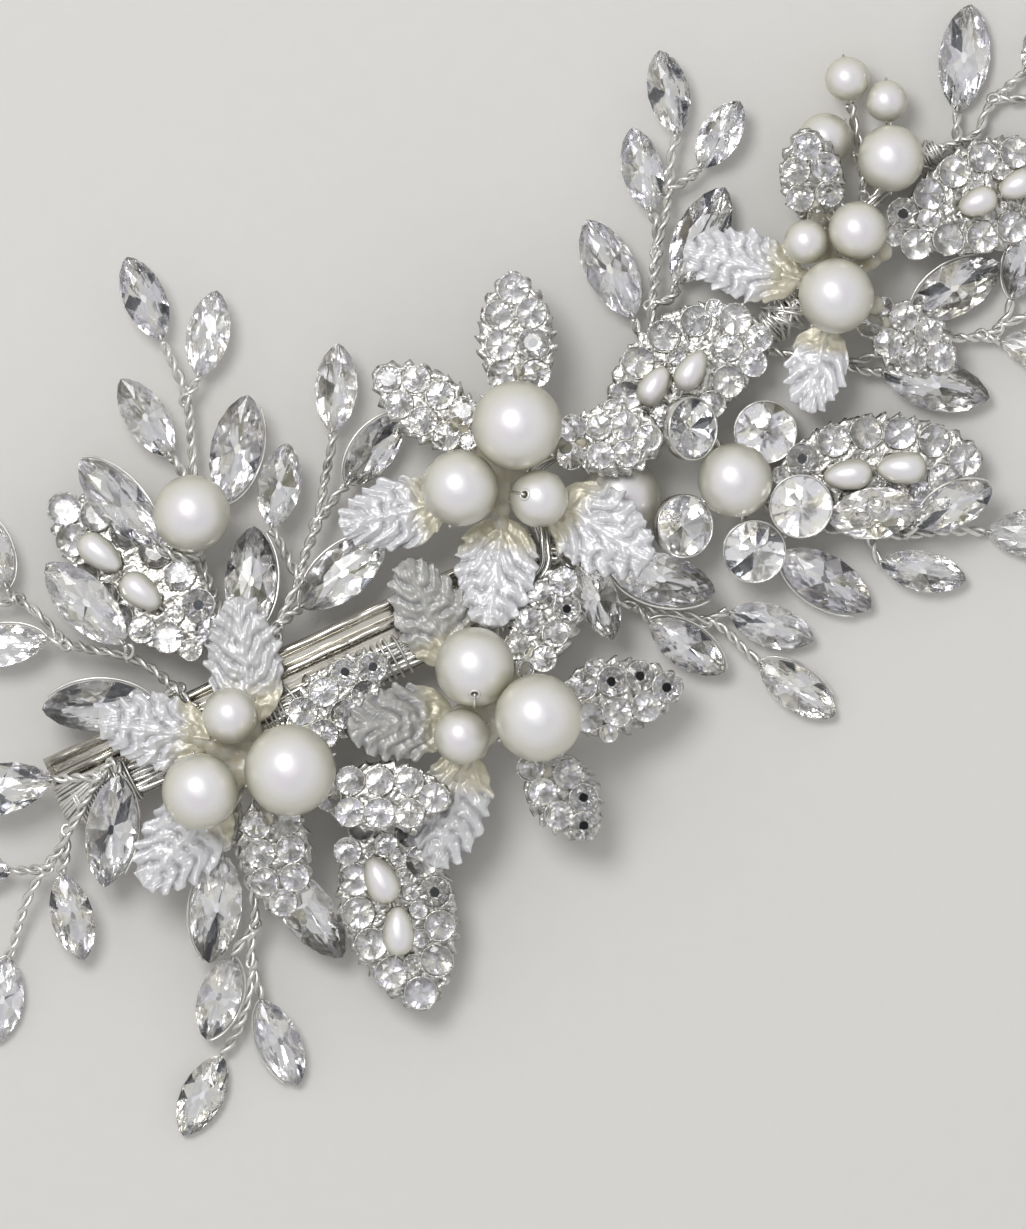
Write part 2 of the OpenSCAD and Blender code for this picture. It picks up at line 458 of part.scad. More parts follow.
// Closing arm, a plain flat strip between the bar's tabs
module clip_arm() {
    arm_length = clip_length - 2 * (tab_long + tab_gap);
    color("lightgray")
        rotate([0, 0, clip_turn])
            translate([-arm_length / 2, -arm_width / 2, 0])
                cube([arm_length, arm_width, arm_thick]);
}

// Whole main stem: the bundle on the bar, then the route of the stem past it
bundle_path = [for (s = bundle_stops) on_clip(s, bundle_side, bar_top(s) + bundle_lift + bundle_half_h)];
stem_path = concat(bundle_path, [for (p = stem_route) p + spray_at]);
last_on_bar = len(bundle_stops) - 1;
function stem_half_w(i) = i <= last_on_bar ? bundle_half_w : stem_r;
function stem_half_h(i) = i <= last_on_bar ? bundle_half_h : i >= len(stem_path) - 3 ? 0.8 * stem_r : stem_r;

// Ring of the main stem at its point i, grown by a margin and moved along by a shift
function stem_ring(i, margin, shift) = let (d = heading(stem_path, i))
    ring(stem_path[i] + shift * d, d, stem_half_w(i) + margin, stem_half_h(i) + margin, stem_sides);

module stem_bundle() {
    color("gainsboro")
        for (i = [0:len(stem_path) - 2])
            skin(concat(stem_ring(i, 0, 0), stem_ring(i + 1, 0, 0)));
}

// Sleeves of binding wire round the main stem
module stem_wraps() {
    overshoot = 0.3;
    color("silver")
        for (w = wraps)
            difference() {
                for (i = [w[0]:w[1] - 1])
                    skin(concat(stem_ring(i, gap + wrap_thick, 0), stem_ring(i + 1, gap + wrap_thick, 0)));
                for (i = [w[0]:w[1] - 1])
                    skin(concat(
                        stem_ring(i, gap, i == w[0] ? -overshoot : 0),
                        stem_ring(i + 1, gap, i == w[1] - 1 ? overshoot : 0)
                    ));
            }
}

// Every leaf row of a cluster that a hub's stem holds from below
function held_leaves(name) = concat(
    [for (row = cast_leaf_rows) if (row[0] == name) row],
    [for (row = pave_leaf_rows) if (row[0] == name && row[3] > hub_reach) row]
);

// Pad of twisted wire and glue with a short stem under each leaf of its cluster
module hub(row) {
    name = row[0];
    middle = [row[1], row[2], row[3] - pad_thick / 2 - stem_root];
    color("beige")
        spray() {
            translate([row[1], row[2], row[3] - pad_thick])
                skin([for (z = [0, pad_thick]) for (p = level_ring(row[4], row[4], z, pad_sides, 1)) p]);
            for (leaf = held_leaves(name)) {
                below = [0, 0, gap + 1.05 * leaf_stem_r];
                rod([middle, part_way(leaf, 0) - below, part_way(leaf, leaf_stem_end) - below],
                    leaf_stem_r, leaf_stem_r, wire_sides);
            }
            for (lead = leads)
                if (lead[0] == name)
                    rod(concat(lead[1], [middle]), twig_r, twig_r, wire_sides);
        }
}

// Pointed crystal along +X: a flat table, a crown, a sharp edge and a pointed back
module navette(length, width) {
    skin(concat(
        level_ring(0.55 * length / 2, 0.5 * width / 2, width * crown_share, navette_sides, 1.1),
        level_ring(length / 2, width / 2, 0, navette_sides, 1.3),
        [[0, 0, -width * back_share]]
    ));
}

module navettes_on(twig) {
    color("white")
        spray()
            for (row = navettes)
                if (row[0] == twig)
                    along(root_of(row), tip_of(row), row[8])
                        translate([long_of(row) / 2, 0, 0])
                            navette(long_of(row), width_of(row));
}

// End of a wire, just short of the crystal that it carries
function wire_seat(row) = root_of(row) - tip_gap * unit(tip_of(row) - root_of(row));

module twig(name) {
    color("lightgray")
        spray()
            for (w = wires)
                if (w[0] == name)
                    rod(w[1] < 0 ? w[2] : concat(w[2], [wire_seat(navettes[w[1]])]),
                        twig_r, twig_r, wire_sides);
}

// Cast leaf along +X from its base: raised veins that sweep forward, and toothed edges
module cast_leaf(length, width) {
    veins = 5;
    stations = 2 * veins;
    columns = 6;
    widest = 0.42;
    sweep = 0.05 * length;
    arch_h = 0.5;
    tip_share = 0.4;
    function half_at(i) = max(stalk_half * (1 - (1 - tip_share) * i / stations),
        leaf_half(i / stations, width, widest) + (i % 2 == 0 ? tooth : 0));
    function crest(i, v) = (i % 2 == 0 ? vein_h : 0) * (1 - 0.3 * abs(v)) + (v == 0 ? vein_h : 0);
    function arch(v) = arch_h * (1 - v * v);
    function spot(i, j, top) = let (v = 2 * j / columns - 1)
        [
            (length - sweep * abs(v)) * i / stations,
            v * half_at(i),
            top ? leaf_thick + arch(v) + crest(i, v) : 0.9 * arch(v)
        ];
    row_size = columns + 1;
    tops = [for (i = [0:stations]) for (j = [0:columns]) spot(i, j, true)];
    unders = [for (i = [0:stations]) for (j = [0:columns]) spot(i, j, false)];
    shift = len(tops);
    function at(i, j) = i * row_size + j;
    polyhedron(
        concat(tops, unders),
        concat(
            [for (i = [0:stations - 1]) for (j = [0:columns - 1]) each [
                [at(i, j), at(i, j + 1), at(i + 1, j)], [at(i + 1, j), at(i, j + 1), at(i + 1, j + 1)]]],
            [for (i = [0:stations - 1]) for (j = [0:columns - 1]) each [
                [shift + at(i, j), shift + at(i + 1, j), shift + at(i, j + 1)],
                [shift + at(i + 1, j), shift + at(i + 1, j + 1), shift + at(i, j + 1)]]],
            [for (i = [0:stations - 1]) each [
                [at(i, 0), at(i + 1, 0), shift + at(i, 0)],
                [at(i + 1, 0), shift + at(i + 1, 0), shift + at(i, 0)],
                [at(i, columns), shift + at(i, columns), at(i + 1, columns)],
                [at(i + 1, columns), shift + at(i, columns), shift + at(i + 1, columns)]]],
            [for (j = [0:columns - 1]) each [
                [at(0, j), shift + at(0, j), at(0, j + 1)],
                [at(0, j + 1), shift + at(0, j), shift + at(0, j + 1)],
                [at(stations, j), at(stations, j + 1), shift + at(stations, j)],
                [at(stations, j + 1), shift + at(stations, j + 1), shift + at(stations, j)]]]
        )
    );
}

module cast_leaves(cluster) {
    color("lavender")
        spray()
            for (row = cast_leaf_rows)
                if (row[0] == cluster)
                    along(root_of(row), tip_of(row))
                        cast_leaf(long_of(row), width_of(row));
}

// Half width of a stone-set leaf at a distance along it
function plate_half(row, x) =
    max(stalk_half, leaf_half(min(1, x / long_of(row)), width_of(row), widest_of(row)));

// Toothed outline of a stone-set leaf along +X from its base
function plate_side(row, teeth) = [for (k = [0:2 * teeth]) let (x = long_of(row) * k / (2 * teeth))
    [x, plate_half(row, x) + (k % 2 == 1 ? tooth : 0)]];

module pave_leaf(row) {
    teeth = round(long_of(row) / tooth_pitch);
    upper = plate_side(row, teeth);
    lower = [for (k = [len(upper) - 1:-1:0]) [upper[k].x, -upper[k].y]];
    linear_extrude(height = plate_thick)
        polygon(concat(upper, lower));
}

module pave_leaves(cluster) {
    color("silver")
        spray()
            for (row = pave_leaf_rows)
                if (row[0] == cluster)
                    along(root_of(row), tip_of(row))
                        pave_leaf(row);
}

// Places of the stones on a leaf: one at the tip, then those down each side, counted from the tip
function tip_stone_x(row) = long_of(row) - stone_r(row) - tip_margin;
function stone_x(row, k) = tip_stone_x(row) - first_pair * stone_r(row) - k * stone_step(row);
function stone_y(row, k) = max(pair_apart * stone_r(row),
    width_of(row) > large_leaf ? plate_half(row, stone_x(row, k)) - stone_r(row) - edge_margin : 0);
function stone_places(row) = concat(
    [[tip_stone_x(row), 0]],
    [for (k = left_stones(row)) [stone_x(row, k), stone_y(row, k)]],
    [for (k = right_stones(row)) [stone_x(row, k), -stone_y(row, k)]]
);

// Round stone with a table and a ring of crown facets, flat below
module round_stone(r) {
    skin(concat(
        level_ring(r, r, 0, stone_sides, 1),
        level_ring(0.58 * r, 0.58 * r, stone_h, stone_sides, 1)
    ));
}

module pave_stones(cluster) {
    color("white")
        spray()
            for (row = pave_leaf_rows)
                if (row[0] == cluster)
                    along(root_of(row), tip_of(row))
                        for (p = stone_places(row))
                            translate([p[0], p[1], plate_thick + gap])
                                round_stone(stone_r(row));
}

// Radius of the hole through a long pearl, and the steps of its outline
rice_hole_r = 0.35;
rice_steps = 8;
// Point of a long pearl's outline, from one end of its drilled hole round to the other
function rice_spot(row, k) = let (half_w = row[5] / 2, start = acos(rice_hole_r / half_w),
    a = start * (2 * k / rice_steps - 1)) [half_w * cos(a), row[4] / 2 * sin(a) / sin(start)];

// Long pearls that lie on the large leaves, drilled along their length
module rice_pearls() {
    color("ivory")
        spray()
            for (row = rice_rows)
                along(root_of(pave_leaf_rows[row[0]]), tip_of(pave_leaf_rows[row[0]]))
                    translate([row[1], row[2], plate_thick + gap + row[5] / 2])
                        rotate([0, 0, row[3]])
                            rotate([0, 90, 0])
                                rotate_extrude($fn = 32)
                                    polygon([for (k = [0:rice_steps]) rice_spot(row, k)]);
}

// Round pearl with its drilled hole
module pearl(row) {
    r = row[4] / 2;
    color("ivory")
        spray()
            translate([row[1], row[2], row[3] + r])
                difference() {
                    sphere(r = r, $fn = 64);
                    rotate([0, 0, row[5]])
                        rotate([0, 90, 0])
                            cylinder(h = 2 * r + 1, r = pearl_hole_r, center = true, $fn = 24);
                }
}

// Puts what is drawn at a cup, turned as the cup is
function cup_floor_at(row) = [row[0], row[1], row[2]];
module at_cup(row) {
    translate(cup_floor_at(row))
        rotate([row[3], row[4], 0])
            children();
}

// Solid form of a cup: it widens from its floor, then goes straight up
module cup_form(r, floor_z, top_z) {
    translate([0, 0, floor_z])
        cylinder(h = cup_cone_h, r1 = 0.55 * r, r2 = r, $fn = cup_sides);
    translate([0, 0, floor_z + cup_cone_h])
        cylinder(h = top_z - cup_cone_h, r = r, $fn = cup_sides);
}

// Cups soldered to the wires of the small cluster
module cup_setting() {
    outer_r = cup_stone_r + gap + cup_wall;
    color("silver")
        spray() {
            for (row = cups)
                at_cup(row)
                    difference() {
                        cup_form(outer_r, 0, cup_depth);
                        cup_form(outer_r - cup_wall, cup_floor, cup_depth + 1);
                    }
            for (w = cup_wires)
                rod(w[0] < 0 ? w[1] : concat(w[1], [cup_floor_at(cups[w[0]]) - [0, 0, cup_wire_sink]]),
                    twig_r, twig_r, wire_sides);
        }
}

// Large round crystals that sit in the cups
module cup_stones() {
    crown = 0.8;
    culet_gap = 0.5;
    seat_drop = 0.1;
    color("white")
        spray()
            for (row = cups)
                at_cup(row)
                    translate([0, 0, cup_floor + cup_depth - seat_drop])
                        skin(concat(
                            level_ring(0.6 * cup_stone_r, 0.6 * cup_stone_r, crown, cup_stone_sides, 1),
                            level_ring(cup_stone_r, cup_stone_r, 0, cup_stone_sides, 1),
                            [[0, 0, culet_gap - cup_depth]]
                        ));
}

clip_bar();
clip_arm();
stem_bundle();
stem_wraps();
cup_setting();
cup_stones();
rice_pearls();
for (row = hubs)
    hub(row);
for (name = twigs)
    twig(name);
for (name = twigs)
    navettes_on(name);
for (name = cast_clusters)
    cast_leaves(name);
for (name = pave_clusters)
    pave_leaves(name);
for (name = pave_clusters)
    pave_stones(name);
for (row = pearl_rows)
    pearl(row);
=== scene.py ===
"""Looks of a bridal hair clip: a wired spray of crystals, pearls and leaves on a barrette clip.

Every dressed piece is built in millimetres round its CAD node and turned to metres when it becomes a mesh.
"""
import logging
import math
from collections.abc import Callable, Sequence
from dataclasses import dataclass, field
from enum import Enum
from functools import partial

import bpy
import numpy as np
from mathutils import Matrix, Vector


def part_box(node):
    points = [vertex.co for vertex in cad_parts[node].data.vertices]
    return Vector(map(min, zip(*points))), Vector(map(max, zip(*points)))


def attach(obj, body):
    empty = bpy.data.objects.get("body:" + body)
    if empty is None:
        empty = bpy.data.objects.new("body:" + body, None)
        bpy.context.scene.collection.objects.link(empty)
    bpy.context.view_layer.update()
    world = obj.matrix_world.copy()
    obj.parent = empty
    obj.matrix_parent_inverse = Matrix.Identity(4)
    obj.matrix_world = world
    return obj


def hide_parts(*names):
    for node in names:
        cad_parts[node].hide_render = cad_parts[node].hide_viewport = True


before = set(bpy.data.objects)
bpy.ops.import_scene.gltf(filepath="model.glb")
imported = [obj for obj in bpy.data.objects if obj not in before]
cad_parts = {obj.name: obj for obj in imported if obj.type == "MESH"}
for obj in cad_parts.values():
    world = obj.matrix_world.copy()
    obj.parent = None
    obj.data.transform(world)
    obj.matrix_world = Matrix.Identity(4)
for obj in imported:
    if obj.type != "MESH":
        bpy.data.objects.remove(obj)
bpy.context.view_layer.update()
LOG = logging.getLogger("hair_clip")

MM = 0.001
UP = np.array([0.0, 0.0, 1.0])
# Place of the spray's own zero against the middle of the clip, as in the part's source
SPRAY_AT = np.array([0.6, 2.9, 0.0])
# Millimetres between two points of a smoothed wire
WIRE_STEP = 0.22
# Sockets of the colour mix node
MIX_COVER, MIX_UNDER, MIX_OVER, MIX_RESULT = 0, 6, 7, 2

Points = np.ndarray
Face = tuple[int, ...]
Pair = tuple[float, float]
Triple = tuple[float, float, float]
Random = np.random.Generator
Tree = bpy.types.NodeTree
Node = bpy.types.Node
# Grain at which the gloss starts and ends to change, and the share of the roughness at each
Wear = tuple[float, float, float, float] | None
Numbers = Sequence[tuple[str, object]]
# How far a winding wire lies to its path's first and to its second side
Offsets = tuple[Points, Points]


class Tone(Enum):
    """Named colours of the object's own finishes, some of them painted shade or painted reflection, as sRGB
    hex.
    """

    SILVER = "EFEEEA"
    # Thin worn plating on the wire, and painted shade in the hollows of the cast silver
    SILVER_WORN_AND_PAINTED_SHADE = "827F78"
    NICKEL = "C6C2B8"
    NICKEL_SHADE = "86827A"
    FOIL = "F5F5F4"
    FOIL_WORN = "D3D3D2"
    # Painted dark reflection on a few facets picked at random
    FOIL_PAINTED_DARK_REFLECTION = "7B7D82"
    FOIL_BARE = "242528"
    FOIL_LILAC = "F1F0F5"
    FOIL_STRAW = "F4F2EA"
    NACRE = "F4F3F4"
    # Cloudy haze in the glue, and painted shade below the top of a pearl
    IVORY_HAZE_AND_PAINTED_SHADE = "E5E3DA"
    NACRE_ROSE = "F3EEF3"
    # Painted shade round a pearl's sides
    NACRE_PAINTED_SIDE_SHADE = "C2BFA8"
    LACQUER = "F2F2F5"
    # Painted shade in the lacquer's grooves
    LACQUER_PAINTED_GROOVE_SHADE = "77777F"
    LACQUER_CLOUDY = "B0AFA9"
    LACQUER_CREAM = "DDD7BF"
    GLUE = "DDD6BE"
    FLOOR = "E0DEDA"
    CLEAR = "FFFFFF"


def linear(tone: Tone) -> tuple[float, float, float, float]:
    """Turns an sRGB hex colour into Blender's linear colour.

    Args:
        tone: the named colour.

    Returns:
        Red, green, blue and an alpha of one.
    """
    parts = [int(tone.value[i:i + 2], 16) / 255 for i in (0, 2, 4)]
    red, green, blue = [c / 12.92 if c <= 0.04045 else ((c + 0.055) / 1.055) ** 2.4 for c in parts]
    return red, green, blue, 1.0


def add_node(tree: Tree, kind: str, settings: dict | None = None, links: dict | None = None) -> Node:
    """Adds a node with its settings and the links into it.

    Args:
        tree: the node tree.
        kind: Blender's name of the node's type.
        settings: values by property name, or by input name or number.
        links: by input name or number, the node and the output that feed it.

    Returns:
        The new node.
    """
    node = tree.nodes.new(kind)
    for name, value in (settings or {}).items():
        if isinstance(name, str) and name not in node.inputs:
            setattr(node, name, value)
        else:
            node.inputs[name].default_value = value
    for name, (source, output) in (links or {}).items():
        tree.links.new(source.outputs[output], node.inputs[name])
    return node


class Source(Enum):
    """What a layer of colour, or a change of gloss, follows.

    Relief, share and tint are read from the mesh, under the names that Shape gives them.
    """

    GRAIN = "grain"
    RELIEF = "relief"
    SHARE = "share"
    TINT = "tint"
    UPWARD = "upward"


@dataclass(frozen=True)
class Layer:
    """A colour laid over the ones before it, where what it follows runs from one number to another.

    Attributes:
        tone: the colour.
        source: what it follows.
        start: number at which it starts to show.
        full: number at which it covers most.
        most: how much it then covers.
    """

    tone: Tone
    source: Source
    start: float
    full: float
    most: float = 1.0


@dataclass(frozen=True)
class Finish:
    """A finish that makes its material once and then hands it out.

    Attributes:
        name: name of the material.
        tone: its base colour.
        rough: its roughness.
        metallic: how far it is a metal.
        layers: colours laid over the base, in order.
        grain_mm: width of the cloudy grain that layers and wear follow.
        wear: how the gloss follows the cloudy grain, if it does.
        bump_grain_mm: width of the bump's grain; none takes the cloudy grain.
        bump_detail: layers of finer noise in the bump.
        bump_mm: height from the bump's lowest to its highest point; 0 leaves the surface plain.
        numbers: plain values of the shader's own sockets.
    """

    name: str
    tone: Tone
    rough: float
    metallic: float = 0.0
    layers: Sequence[Layer] = ()
    grain_mm: float = 1.0
    wear: Wear = None
    bump_grain_mm: float | None = None
    bump_detail: float = 3.0
    bump_mm: float = 0.0
    numbers: Numbers = ()

    def material(self) -> bpy.types.Material:
        """Gives the finish's material, and makes it the first time.

        Returns:
            The material.
        """
        found = bpy.data.materials.get(self.name)
        if found:
            return found
        made = bpy.data.materials.new(self.name)
        made.use_nodes = True
        tree = made.node_tree
        shader = next(n for n in tree.nodes if n.type == "BSDF_PRINCIPLED")
        for name, value in (("Base Color", linear(self.tone)), ("Roughness", self.rough),
                            ("Metallic", self.metallic), *self.numbers):
            shader.inputs[name].default_value = value
        self.add_layers(tree, shader)
        if self.wear:
            low, high, least, most = self.wear
            gloss = self.spread(tree, Source.GRAIN, low, high, self.rough * least, self.rough * most)
            tree.links.new(gloss.outputs[0], shader.inputs["Roughness"])
        if self.bump_mm:
            height = (self.noise(tree, self.bump_grain_mm, self.bump_detail) if self.bump_grain_mm
                      else self.grain(tree))
            relief = add_node(tree, "ShaderNodeBump", {"Strength": 1.0, "Distance": self.bump_mm * MM},
                              {"Height": (height, 0)})
            tree.links.new(relief.outputs["Normal"], shader.inputs["Normal"])
        return made

    def add_layers(self, tree: Tree, shader: Node) -> None:
        """Lays the finish's colours over its base colour.

        Args:
            tree: the material's nodes.
            shader: its Principled shader.
        """
        under = None
        for layer in self.layers:
            cover = self.spread(tree, layer.source, layer.start, layer.full, 0.0, layer.most)
            settings: dict = {"data_type": "RGBA", MIX_OVER: linear(layer.tone)}
            links: dict = {MIX_COVER: (cover, 0)}
            if under is None:
                settings[MIX_UNDER] = linear(self.tone)
            else:
                links[MIX_UNDER] = (under, MIX_RESULT)
            under = add_node(tree, "ShaderNodeMix", settings, links)
        if under is not None:
            tree.links.new(under.outputs[MIX_RESULT], shader.inputs["Base Color"])

    def spread(self, tree: Tree, source: Source, low: float, high: float, least: float,
               most: float) -> Node:
        """A node that stretches what a source gives, from low to high, over the range least to most."""
        limits = {"From Min": low, "From Max": high, "To Min": least, "To Max": most}
        return add_node(tree, "ShaderNodeMapRange", limits, {"Value": self.reading(tree, source)})

    def reading(self, tree: Tree, source: Source) -> tuple[Node, object]:
        """Finds what a source gives at each point.

        Args:
            tree: the material's nodes.
            source: the source.

        Returns:
            The node and the output that hold it.
        """
        if source is Source.GRAIN:
            return self.grain(tree), 0
        # How far the surface faces up, which a pearl's painted top light and side shade follow
        if source is Source.UPWARD:
            facing = add_node(tree, "ShaderNodeNewGeometry")
            return add_node(tree, "ShaderNodeSeparateXYZ", links={"Vector": (facing, "Normal")}), "Z"
        own = add_node(tree, "ShaderNodeAttribute", {"attribute_name": source.value})
        if source is not Source.SHARE:
            return own, "Fac"
        # The grain keeps the border between two stretches of a leaf uneven
        return add_node(tree, "ShaderNodeMath", {"operation": "MULTIPLY_ADD", 1: 0.25},
                        {0: (self.grain(tree), 0), 2: (own, "Fac")}), 0

    def grain(self, tree: Tree) -> Node:
        """The finish's own cloudy grain."""
        return self.noise(tree, self.grain_mm)

    @staticmethod
    def noise(tree: Tree, size_mm: float, detail: float = 3.0) -> Node:
        """A noise node whose lumps have a real size, with layers of finer noise."""
        place = add_node(tree, "ShaderNodeTexCoord")
        return add_node(tree, "ShaderNodeTexNoise", {"Scale": 1 / (size_mm * MM), "Detail": detail},
                        {"Vector": (place, "Object")})


@dataclass(frozen=True)
class SilverPlate(Finish):
    """Silver-plated drawn copper wire: bright and white, with a trace of yellow where the plating is thin."""

    name: str = "silver_plated_wire"
    tone: Tone = Tone.SILVER
    rough: float = 0.2
    metallic: float = 1.0
    layers: Sequence[Layer] = (Layer(Tone.SILVER_WORN_AND_PAINTED_SHADE, Source.GRAIN, 0.5, 0.8, 0.7),)
    grain_mm: float = 2.5
    wear: Wear = (0.3, 0.7, 0.8, 1.5)
    # Marks of the drawing die are some microns wide: drawn 0.15 mm apart here, so that they show
    bump_grain_mm: float | None = 0.15
    bump_mm: float = 0.01


@dataclass(frozen=True)
class CastSilver(Finish):
    """Silver-plated zinc casting: bright crests, painted shade that darkens its hollows, and the grain of the
    mould.
    """

    name: str = "cast_silver_plate"
    tone: Tone = Tone.SILVER
    rough: float = 0.24
    metallic: float = 1.0
    # Painted shade: the lower the relief, the darker the metal
    layers: Sequence[Layer] = (Layer(Tone.SILVER_WORN_AND_PAINTED_SHADE, Source.RELIEF, 0.95, 0.4),)
    # Pimples of the mould, about a third of a millimetre across
    bump_grain_mm: float | None = 0.35
    bump_detail: float = 2.0
    bump_mm: float = 0.1


@dataclass(frozen=True)
class NickelPlate(Finish):
    """Nickel plate on pressed spring steel: mirror-like, a little warm, with rolling marks along it.

    Attributes:
        turn_deg: the way that the marks run.
        mark_mm: length, width and depth of a mark.
    """

    name: str = "polished_nickel"
    tone: Tone = Tone.NICKEL
    rough: float = 0.12
    metallic: float = 1.0
    layers: Sequence[Layer] = (Layer(Tone.NICKEL_SHADE, Source.GRAIN, 0.45, 0.75, 0.6),)
    wear: Wear = (0.3, 0.7, 0.6, 2.2)
    bump_mm: float = 0.03
    turn_deg: float = 25.0
    mark_mm: Triple = (6.0, 0.25, 0.25)

    def grain(self, tree: Tree) -> Node:
        """Long marks along the strip in place of the cloudy grain.

        Args:
            tree: the material's nodes.

        Returns:
            The noise node.
        """
        place = add_node(tree, "ShaderNodeTexCoord")
        along = add_node(tree, "ShaderNodeMapping",
                         {"vector_type": "TEXTURE", "Rotation": (0, 0, math.radians(self.turn_deg)),
                          "Scale": [side * MM for side in self.mark_mm]}, {"Vector": (place, "Object")})
        return add_node(tree, "ShaderNodeTexNoise", {"Scale": 1.0, "Detail": 2.0}, {"Vector": (along, 0)})


@dataclass(frozen=True)
class CutCrystal(Finish):
    """Ground and polished lead-free crystal: clear, flat-faceted, with the faintest smears of handling."""

    name: str = "cut_crystal"
    tone: Tone = Tone.CLEAR
    rough: float = 0.05
    grain_mm: float = 1.5
    wear: Wear = (0.55, 0.75, 0.0, 1.0)
    numbers: Numbers = (("IOR", 1.56), ("Transmission Weight", 1.0))


@dataclass(frozen=True)
class FoilBack(Finish):
    """Vacuum silver foil on a crystal's back: a mirror in each facet, with a painted dark reflection on a few
    facets picked at random by their tint.
    """

    name: str = "silver_foil_back"
    tone: Tone = Tone.FOIL
    rough: float = 0.1
    metallic: float = 1.0
    # A heart's facet has a tint below zero: its foil is missing
    layers: Sequence[Layer] = (
        Layer(Tone.FOIL_LILAC, Source.TINT, 0.6, 0.9), Layer(Tone.FOIL_STRAW, Source.TINT, 0.3, 0.12),
        # Facets whose tint is below 0.07 get a painted dark reflection
        Layer(Tone.FOIL_PAINTED_DARK_REFLECTION, Source.TINT, 0.07, 0.05), Layer(Tone.FOIL_BARE, Source.TINT, -0.4, -0.6))


@dataclass(frozen=True)
class PearlCoat(Finish):
    """Pearl essence over a moulded bead: thin nacre layers in rosy white patches, with painted light that
    keeps the top brightest and painted shade that turns the sides ivory and then cream.
    """

    name: str = "ivory_pearl_coat"
    tone: Tone = Tone.NACRE
    rough: float = 0.36
    metallic: float = 0.32
    layers: Sequence[Layer] = (
        # The rosy patches follow the grain; the ivory and cream layers are painted shade that darkens the
        # pearl as its surface turns away from up
        Layer(Tone.NACRE_ROSE, Source.GRAIN, 0.4, 0.65), Layer(Tone.IVORY_HAZE_AND_PAINTED_SHADE, Source.UPWARD, 0.96, 0.7),
        Layer(Tone.NACRE_PAINTED_SIDE_SHADE, Source.UPWARD, 0.75, 0.05))
    grain_mm: float = 2.2
    # Orange peel of the dipped coat
    bump_grain_mm: float | None = 0.9
    bump_mm: float = 0.012
    numbers: Numbers = (
        ("IOR", 1.53), ("Subsurface Weight", 0.1), ("Subsurface Radius", (1.0, 0.9, 0.7)),
        ("Subsurface Scale", 0.6 * MM), ("Coat Weight", 0.8), ("Coat Roughness", 0.2), ("Coat IOR", 1.5))


@dataclass(frozen=True)
class PearlLacquer(Finish):
    """Pearl lacquer sprayed on a casting: lilac white, with painted shade that greys the grooves, and creamy
    near the glue.
    """

    name: str = "pearl_lacquer"
    tone: Tone = Tone.LACQUER
    rough: float = 0.4
    metallic: float = 0.35
    layers: Sequence[Layer] = (
        Layer(Tone.LACQUER_CLOUDY, Source.TINT, 0.0, 1.0),
        # Painted shade: the lower the relief, the greyer the lacquer
        Layer(Tone.LACQUER_PAINTED_GROOVE_SHADE, Source.RELIEF, 0.45, 0.05, 0.7),
        Layer(Tone.LACQUER_CREAM, Source.SHARE, 0.46, 0.32, 0.9))
    grain_mm: float = 1.8
    # Mica flakes are about 30 microns: drawn 0.35 mm wide here, so that they show
    bump_grain_mm: float | None = 0.35
    bump_mm: float = 0.07
    numbers: Numbers = (("Coat Weight", 0.25), ("Coat Roughness", 0.24))


@dataclass(frozen=True)
class CreamGlue(Finish):
    """Two-part clear glue gone slightly cream: soft edges, cloudy inside, shiny outside."""

    name: str = "cream_glue"
    tone: Tone = Tone.GLUE
    rough: float = 0.22
    layers: Sequence[Layer] = (Layer(Tone.IVORY_HAZE_AND_PAINTED_SHADE, Source.GRAIN, 0.35, 0.7),)
    grain_mm: float = 1.2
    bump_mm: float = 0.12
    numbers: Numbers = (
        ("IOR", 1.5), ("Transmission Weight", 0.25), ("Subsurface Weight", 0.4),
        ("Subsurface Radius", (1.0, 0.9, 0.65)), ("Subsurface Scale", 0.8 * MM))


@dataclass(frozen=True)
class PalePaper(Finish):
    """Plain pale paper sweep with a very faint mottle."""

    name: str = "pale_paper"
    tone: Tone = Tone.FLOOR
    rough: float = 0.85
    layers: Sequence[Layer] = (Layer(Tone.SILVER, Source.GRAIN, 0.3, 0.7, 0.08),)
    grain_mm: float = 2.5


WIRE = SilverPlate()
SATIN_WIRE = SilverPlate("satin_silver_wire", rough=0.33)
CAST = CastSilver()
NICKEL = NickelPlate()
STEEL = NickelPlate("steel_strip", rough=0.3)
CRYSTAL = CutCrystal()
FOIL = FoilBack()
SMALL_FOIL = FoilBack("small_stone_foil", Tone.FOIL_WORN, 0.17)
PEARL = PearlCoat()
LACQUER = PearlLacquer()
GLUE = CreamGlue()
PAPER = PalePaper()


def unit(v: Points) -> Points:
    """Gives a vector, or each row of vectors, the length one."""
    return v / np.maximum(np.linalg.norm(v, axis=-1, keepdims=True), 1e-12)


def put(name: str, data: bpy.types.ID) -> bpy.types.Object:
    """Puts an object into the scene.

    Args:
        name: its name.
        data: its mesh, light or camera.

    Returns:
        The object.
    """
    made = bpy.data.objects.new(name, data)
    bpy.context.scene.collection.objects.link(made)
    return made


